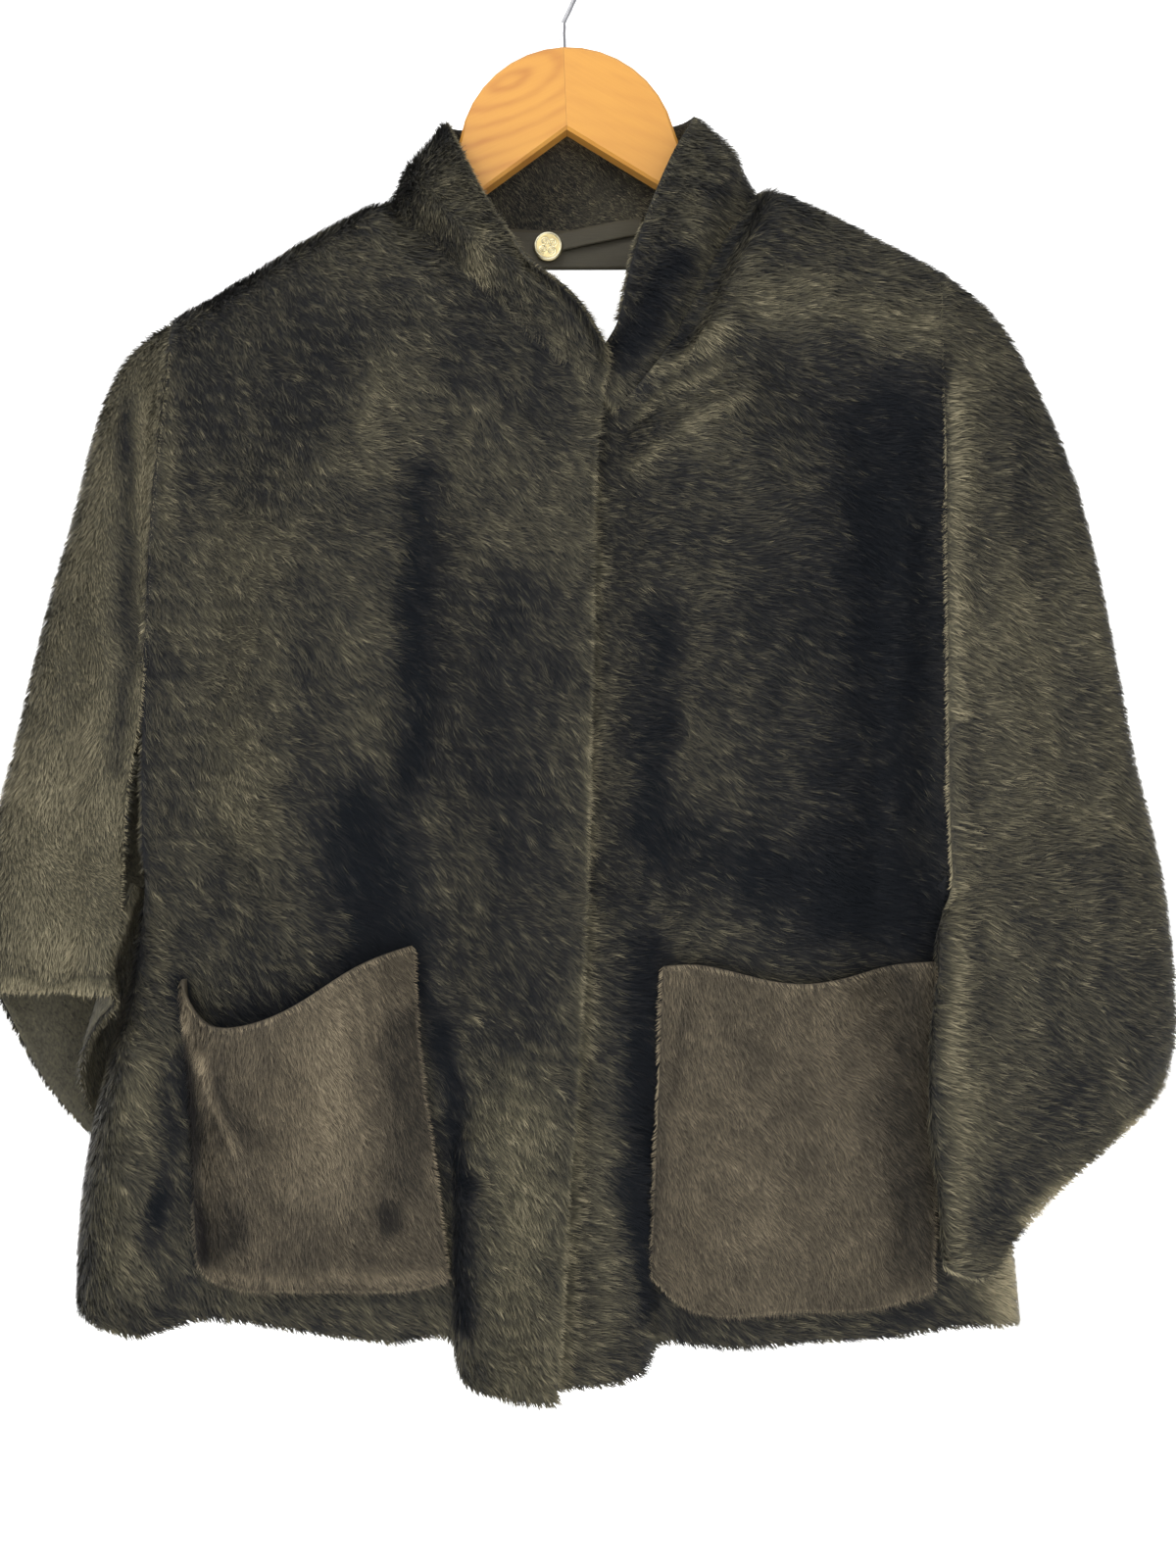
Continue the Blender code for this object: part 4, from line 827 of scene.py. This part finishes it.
# painted shade and painted highlights on the collar's folds
COLLAR_LIGHT_AND_SHADE = [
    Band(-42, -195, -42, -224, 6, 0.30), Band(64, -208, 38, -257, 7, -0.35),
    Band(70, -172, 69, -190, 8, 0.16), Band(-66, -169, -51, -177, 10, 0.10),
    Band(-40, -239, -25, -250, 11, -0.20),
]
# The top edge behind the hanger stands up, and the front edge lies open over the tape.
COLLAR_EDGES = [((-28, 28.6, -112), (0, 0, 3)), ((-11.3, 31.2, -113.2), (0, 0, 7)),
                ((6.1, 32, -114), (0, 0, 9)), ((24.5, 31.5, -113.1), (0, 0, 7)),
                ((42.7, 29.4, -111.5), (0, 0, 3)), ((-10.4, -57, -208.1), (-6, 0, -3)),
                ((4.2, -59.4, -218.5), (-9, 0, -4)), ((17.8, -60, -231.2), (-5, 0, -4)),
                ((107.2, -13.1, -161.1), (8, 1, -4)), ((113.1, -0.2, -150.2), (11, 0, -3)),
                ((99.6, 18.9, -153.3), (9, 2, -3)), ((-99.9, -0.2, -160.5), (-10, 0, -5)),
                ((-92.3, -15, -168.5), (-8, -2, -5)), ((-89.8, 19, -160.5), (-7, 2, -3)),
                # the two ends meet below the open neck
                ((27.8, -50, -253.5), (-3, 0, 4)), ((31.1, -54, -257), (-7, 1, 0)),
                ((32, -53.4, -261.5), (-8, 1, 0)), ((32.9, -53.2, -266.1), (-8, 1, 0)),
                ((33.7, -52.5, -270.6), (-7, 0, 0)), ((34.5, -50.9, -275.1), (-6, 0, 0))]
sheet = smooth_sheet(outer_side("collar", BODY_MIDDLE, COLLAR_WALL, COLLAR_REACH),
                     (COLLAR_WALL - BACKING) / 2, COLLAR_FOOT, COLLAR_EDGES)
collar_tone = shaded(0.42, COLLAR_LIGHT_AND_SHADE, 31)
cloth = thicken("collar_cloth", sheet, UNDERFUR, collar_tone)
COLLAR_PILE = LONG_PILE._replace(length=6.5 * MM, edge=9 * MM, rise=4.2 * MM)
collar_fur = [
    grow("collar_outer_fur", sheet, COLLAR_LOCKS, FUR, collar_tone, 31, COLLAR_PILE),
    grow("collar_inner_fur", sheet, COLLAR_LOCKS, FUR, shaded(0.60, [], 32), 32, COLLAR_PILE,
         flip=True),
]
for piece in [cloth] + collar_fur:
    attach(piece, "root")
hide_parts("collar")

# ---------------------------------------------------------------- the pockets
# Two patch pockets of a smoother, browner fur with a shorter pile, sewn on at
# their sides and bottoms. The viewer's left one is pulled open.
SHORT_PILE = Pile(5.0 * MM, 2.5 * MM, 0.6 * MM, 3.0 * MM, 0.30, 0.08, (0.50, 0.0, -0.87))
POCKET_STOPS = ((0.0, (0.008, 0.007, 0.007)), (0.2, (0.026, 0.023, 0.018)),
                (0.45, (0.105, 0.087, 0.060)), (1.0, (0.42, 0.345, 0.225)))
POCKET_FUR = pelt("pocket_fur", POCKET_STOPS)
POCKET_UNDERFUR = underfur("pocket_underfur", POCKET_STOPS)
# painted shade and painted highlights on the pockets' folds, edges and openings
RIGHT_POCKET_LIGHT_AND_SHADE = [
    Band(-117, -615, -125, -694, 21, 0.24), Band(-83, -620, -80, -704, 12, -0.20),
    Band(-94, -725, -92, -730, 7, -0.36), Band(-204, -630, -195, -751, 6, -0.45),
    Band(-190, -641, -173, -691, 3, 0.30), Band(-176, -728, -179, -736, 9, -0.25),
    Band(-200, -602, -201, -622, 4, 0.20), Band(-201, -622, -190, -645, 4, 0.25),
    Band(-193, -759, -67, -758, 4, 0.20), Band(-180, -657, -162, -683, 8, -0.10),
]
LEFT_POCKET_LIGHT_AND_SHADE = [
    Band(190, -604, 193, -751, 16, -0.22), Band(70, -604, 48, -756, 3, -0.10),
    Band(112, -725, 132, -736, 32, 0.05),
]
# the pockets' fainter random patches of painted sheen
SMOOTH = ((50 * MM, 0.04), (16 * MM, 0.04), (7 * MM, 0.02))
RIGHT_POCKET_CREASES = [
    Crease(-190, -641, -171, -697, 5, 0, -3, 0), Crease(-196, -650, -192, -745, 5, 0, 3, 0),
    Crease(-120, -615, -125, -700, 20, 0, -4, 0), Crease(-94, -700, -92, -740, 9, 0, 3, 0),
]
LEFT_POCKET_CREASES = [
    Crease(190, -604, 193, -751, 14, 0, 2.5, 0), Crease(96, -640, 110, -745, 26, 0, -2.5, 0),
]
POCKETS = [
    Cut("pocket_right", 30000, 0.15, 0.165, 0.022,
        shaded(0.50, RIGHT_POCKET_LIGHT_AND_SHADE, 41, SMOOTH), RIGHT_POCKET_CREASES, SHORT_PILE, 41),
    Cut("pocket_left", 36000, 0.16, 0.185, 0.028,
        shaded(0.55, LEFT_POCKET_LIGHT_AND_SHADE, 42, SMOOTH), LEFT_POCKET_CREASES, SHORT_PILE, 42),
]
for cut in POCKETS:
    sheet = smooth_sheet(outer_side(cut.node, BODY_MIDDLE, CLOTH), SHORT_PILE.rise, 2 * MM)
    creased(sheet, cut.creases)
    fur = grow(cut.node + "_fur", sheet, cut.locks, POCKET_FUR, cut.tone, cut.seed, cut.pile)
    cloth = thicken(cut.node + "_cloth", sheet, POCKET_UNDERFUR, cut.tone)
    for piece in (cloth, fur):
        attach(piece, "root")
    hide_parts(cut.node)
    cut.node.replace("pocket", "front") + "_cloth"

# ---------------------------------------------------------------- inside the neck
# A satin facing is sewn along the back of the neck, with a narrow satin strap
# across it and, below its straight edge, a plain white woven tape, given a
# painted glow that keeps it white in the shade inside the neck.
THREADS = (120, 900, 2600)     # to a metre: they run across the wearer
SOFT_FOLDS = (14, 14, 30)


def satin(name, thread, shadow):
    """Satin: fine floating threads that shine along one way, painted paler as painted sheen,
    with painted shade in its soft folds.
    """
    finish = Finish(name, 0.4, Specular_IOR_Level=0.22)
    threads = finish.cloud(finish.place(THREADS), 1.0, 2.0)
    folds = finish.cloud(finish.place(SOFT_FOLDS), 1.0, 2.0)
    # the colour runs from the shadow colour in the folds, as painted shade, to the thread colour
    # on the threads, as painted sheen
    finish.set("Base Color", finish.blend((threads * 0.5 + folds * 0.5).clamp(), shadow, thread))
    finish.set("Roughness", 0.34 + threads * 0.2)
    finish.dents(threads * 0.3 + folds, 0.5 * MM)
    return finish


SATIN = satin("dark_satin", (0.082, 0.072, 0.045), (0.026, 0.023, 0.016))
# the tape glows, though it is no lamp: a painted glow against the shade inside the neck
GLOWING_TAPE = Finish("white_tape", 0.75, Emission_Color=(1.0, 1.0, 1.0), Emission_Strength=0.65)
weave = GLOWING_TAPE.node("ShaderNodeTexChecker", None,
                  {"Vector": GLOWING_TAPE.place(), "Scale": 1400.0}, "Fac")
GLOWING_TAPE.set("Base Color", GLOWING_TAPE.blend(weave, (0.93, 0.93, 0.92), (0.86, 0.86, 0.85)))
GLOWING_TAPE.dents(weave, 0.1 * MM)
Strip = namedtuple("Strip", "node finish slot wall width length")


def flat_tone(points):
    return np.full(len(points), 0.5)


for strip in (Strip("neck_facing", SATIN, "satin", 1.5 * MM, 0.14, 0.027),
              Strip("neck_tab", SATIN, "satin", 1.5 * MM, 0.066, 0.0105),
              Strip("label", GLOWING_TAPE, "tape", 1.0 * MM, 0.075, 0.048)):
    low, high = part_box(strip.node)
    behind = Vector(((low[0] + high[0]) / 2, 0.2, (low[2] + high[2]) / 2))
    sheet = smooth_sheet(outer_side(strip.node, behind, strip.wall), 0, 0)
    cloth = thicken(strip.node + "_cloth", sheet, strip.finish, flat_tone, strip.wall * 0.8)
    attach(cloth, "root")
    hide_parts(strip.node)

# ---------------------------------------------------------------- the button
# A cast metal button in polished pale gold, with a raised rim and a scroll in
# relief, on the end of the strap.
GOLD_LOW = (0.60, 0.49, 0.24)
GOLD_HIGH = (1.0, 0.95, 0.70)
gold = Finish("pale_gold", 0.3, 1.0)
tarnish = gold.cloud(gold.place(), 420.0)
relief = gold.node("ShaderNodeAttribute", {"attribute_name": "relief"}, output="Fac")
# the raised rim and scroll are painted paler and the ground between them darker: a painted
# highlight on the relief and painted shade in its hollows
gold.set("Base Color", gold.blend((relief * 1.3 + tarnish * 0.3 - 0.1).clamp(),
                                  GOLD_LOW, GOLD_HIGH))
gold.set("Roughness", 0.30 + tarnish * 0.2)
DOME = 0.3 * MM
RIM_HEIGHT = 0.5 * MM
ROUNDED_EDGE = 1.2 * MM
SCROLL_HEIGHT = 0.35 * MM
# Places and sizes across the button are shares of its radius.
RIM_PLACE = 0.9
RIM_WIDTH = 0.055
EDGE_PLACE = 0.94
SCROLL_FIELD = 0.82
SCROLL_SIZE = 0.30
SCROLL_TURNS = 1.9
SCROLL_FINENESS = 4.4      # the larger, the narrower the spiral's line
# each spiral's distance from the middle, its angle in radians and its hand
SCROLLS = ((0.42, 0.6, 1), (0.42, 2.2, -1), (0.42, 3.75, 1), (0.42, 5.3, -1))
RINGS = 44
SPOKES = 120


def scroll(x, y):
    """1 on the line of the nearest small spiral, 0 beside it."""
    best = 0.0
    for out, angle, hand in SCROLLS:
        dx, dy = x - out * math.cos(angle), y - out * math.sin(angle)
        r = math.hypot(dx, dy) / SCROLL_SIZE
        if 0.02 < r < 1.05:
            turns = (hand * math.atan2(dy, dx) / (2 * math.pi) - r * SCROLL_TURNS + angle) % 1.0
            best = max(best, 1 - abs(turns - 0.5) * SCROLL_FINENESS)
    return max(best, 0.0)


def cast_button():
    """A domed disc on a grid of rings, with a rim and four small spirals raised."""
    low, high = (Vector(corner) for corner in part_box("button"))
    middle, radius = (low + high) / 2, (high.x - low.x) / 2
    front, back = low.y + RIM_HEIGHT, high.y
    bm = bmesh.new()
    layer = bm.verts.layers.float.new("relief")
    rows = []
    for ring in range(1, RINGS + 1):
        r = ring / RINGS
        rim = math.exp(-((r - RIM_PLACE) / RIM_WIDTH) ** 2)
        dome = DOME * (1 - r * r)
        dome -= ROUNDED_EDGE * max(0.0, r - EDGE_PLACE) / (1 - EDGE_PLACE)
        row = []
        for spoke in range(SPOKES):
            a = 2 * math.pi * spoke / SPOKES
            x, y = r * math.cos(a), r * math.sin(a)
            raised = max(rim, scroll(x, y) if r < SCROLL_FIELD else 0.0)
            height = dome + max(rim * RIM_HEIGHT, (raised - rim) * SCROLL_HEIGHT)
            vert = bm.verts.new(middle + Vector((x * radius, 0, y * radius)))
            vert.co.y = front - height
            vert[layer] = raised
            row.append(vert)
        rows.append(row)
    rows.append([bm.verts.new((v.co.x, back, v.co.z)) for v in rows[-1]])
    for one, two in zip(rows, rows[1:]):
        for k in range(SPOKES):
            bm.faces.new((one[k], one[k - 1], two[k - 1], two[k]))
    bm.faces.new(rows[0])
    bm.faces.new(rows[-1][::-1])
    bmesh.ops.recalc_face_normals(bm, faces=bm.faces)
    mesh = bpy.data.meshes.new("button_cast")
    bm.to_mesh(mesh)
    bm.free()
    mesh.shade_smooth()
    return show("button_cast", mesh, gold)


button = cast_button()
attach(button, "root")
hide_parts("button")

# ---------------------------------------------------------------- the studio
# A white paper sweep behind and below, soft light from the front, above and both
# sides, and the camera level with the chest.
PAPER_FRONT = -9.0         # y of its front edge
PAPER_SIDE = 9.0
FLOOR = -1.15
WALL = 3.4                 # y of the upright part
WALL_TOP = 4.0
BEND = 0.8                 # radius between floor and wall
BEND_STEPS = 8


def sweep():
    """Floor and wall in one curved sheet."""
    line = [(PAPER_FRONT, FLOOR)]
    for step in range(BEND_STEPS + 1):
        a = math.radians(90 * step / BEND_STEPS)
        line.append((WALL - BEND + BEND * math.sin(a), FLOOR + BEND * (1 - math.cos(a))))
    line.append((WALL, WALL_TOP))
    bm = bmesh.new()
    rows = [[bm.verts.new((x, y, z)) for x in (-PAPER_SIDE, PAPER_SIDE)] for y, z in line]
    for one, two in zip(rows, rows[1:]):
        bm.faces.new((one[0], one[1], two[1], two[0]))
    mesh = bpy.data.meshes.new("sweep")
    bm.to_mesh(mesh)
    bm.free()
    mesh.shade_smooth()
    paper = Finish("pale_paper", 0.9, Emission_Color=(1.0, 1.0, 1.0), Emission_Strength=0.8)
    paper.set("Base Color", paper.blend(paper.cloud(paper.place(), 300.0), (0.9, 0.9, 0.9),
                                        (0.86, 0.86, 0.86)))
    return show("sweep", mesh, paper)


sweep()


def softbox(name, power, size, place, aim):
    """A rectangular lamp of this power in watts, turned to aim."""
    light = bpy.data.lights.new(name, "AREA")
    light.energy = power
    light.shape = "RECTANGLE"
    light.size, light.size_y = size
    lamp = bpy.data.objects.new(name, light)
    lamp.location = place
    lamp.rotation_euler = (Vector(aim) - Vector(place)).to_track_quat("-Z", "Y").to_euler()
    bpy.context.scene.collection.objects.link(lamp)


softbox("key", 23, (1.2, 1.2), (-1.0, -1.6, 0.6), (0, 0, -0.45))
softbox("fill", 13, (1.0, 1.0), (0.4, -2.0, -0.3), (0, 0, -0.45))
softbox("top", 8, (1.6, 0.8), (0, -0.2, 1.1), (0, 0, -0.3))
softbox("rim left", 7, (0.3, 1.2), (-0.9, 0.5, -0.4), (-0.2, 0, -0.5))
softbox("rim right", 7, (0.3, 1.2), (0.95, 0.5, -0.4), (0.2, 0, -0.5))
world = bpy.data.worlds.new("studio")
world.use_nodes = True
world.node_tree.nodes["Background"].inputs["Color"].default_value = (1, 1, 1, 1)
world.node_tree.nodes["Background"].inputs["Strength"].default_value = 0.5
bpy.context.scene.world = world
bpy.context.scene.view_settings.view_transform = "Standard"

CAMERA_PLACE = (0.01714, -0.95, -0.494)   # level with the chest
lens = bpy.data.cameras.new("camera")
lens.lens = 38.16
camera = bpy.data.objects.new("camera", lens)
camera.location = CAMERA_PLACE
camera.rotation_euler = (math.pi / 2, 0, 0)
bpy.context.scene.collection.objects.link(camera)
bpy.context.scene.camera = camera
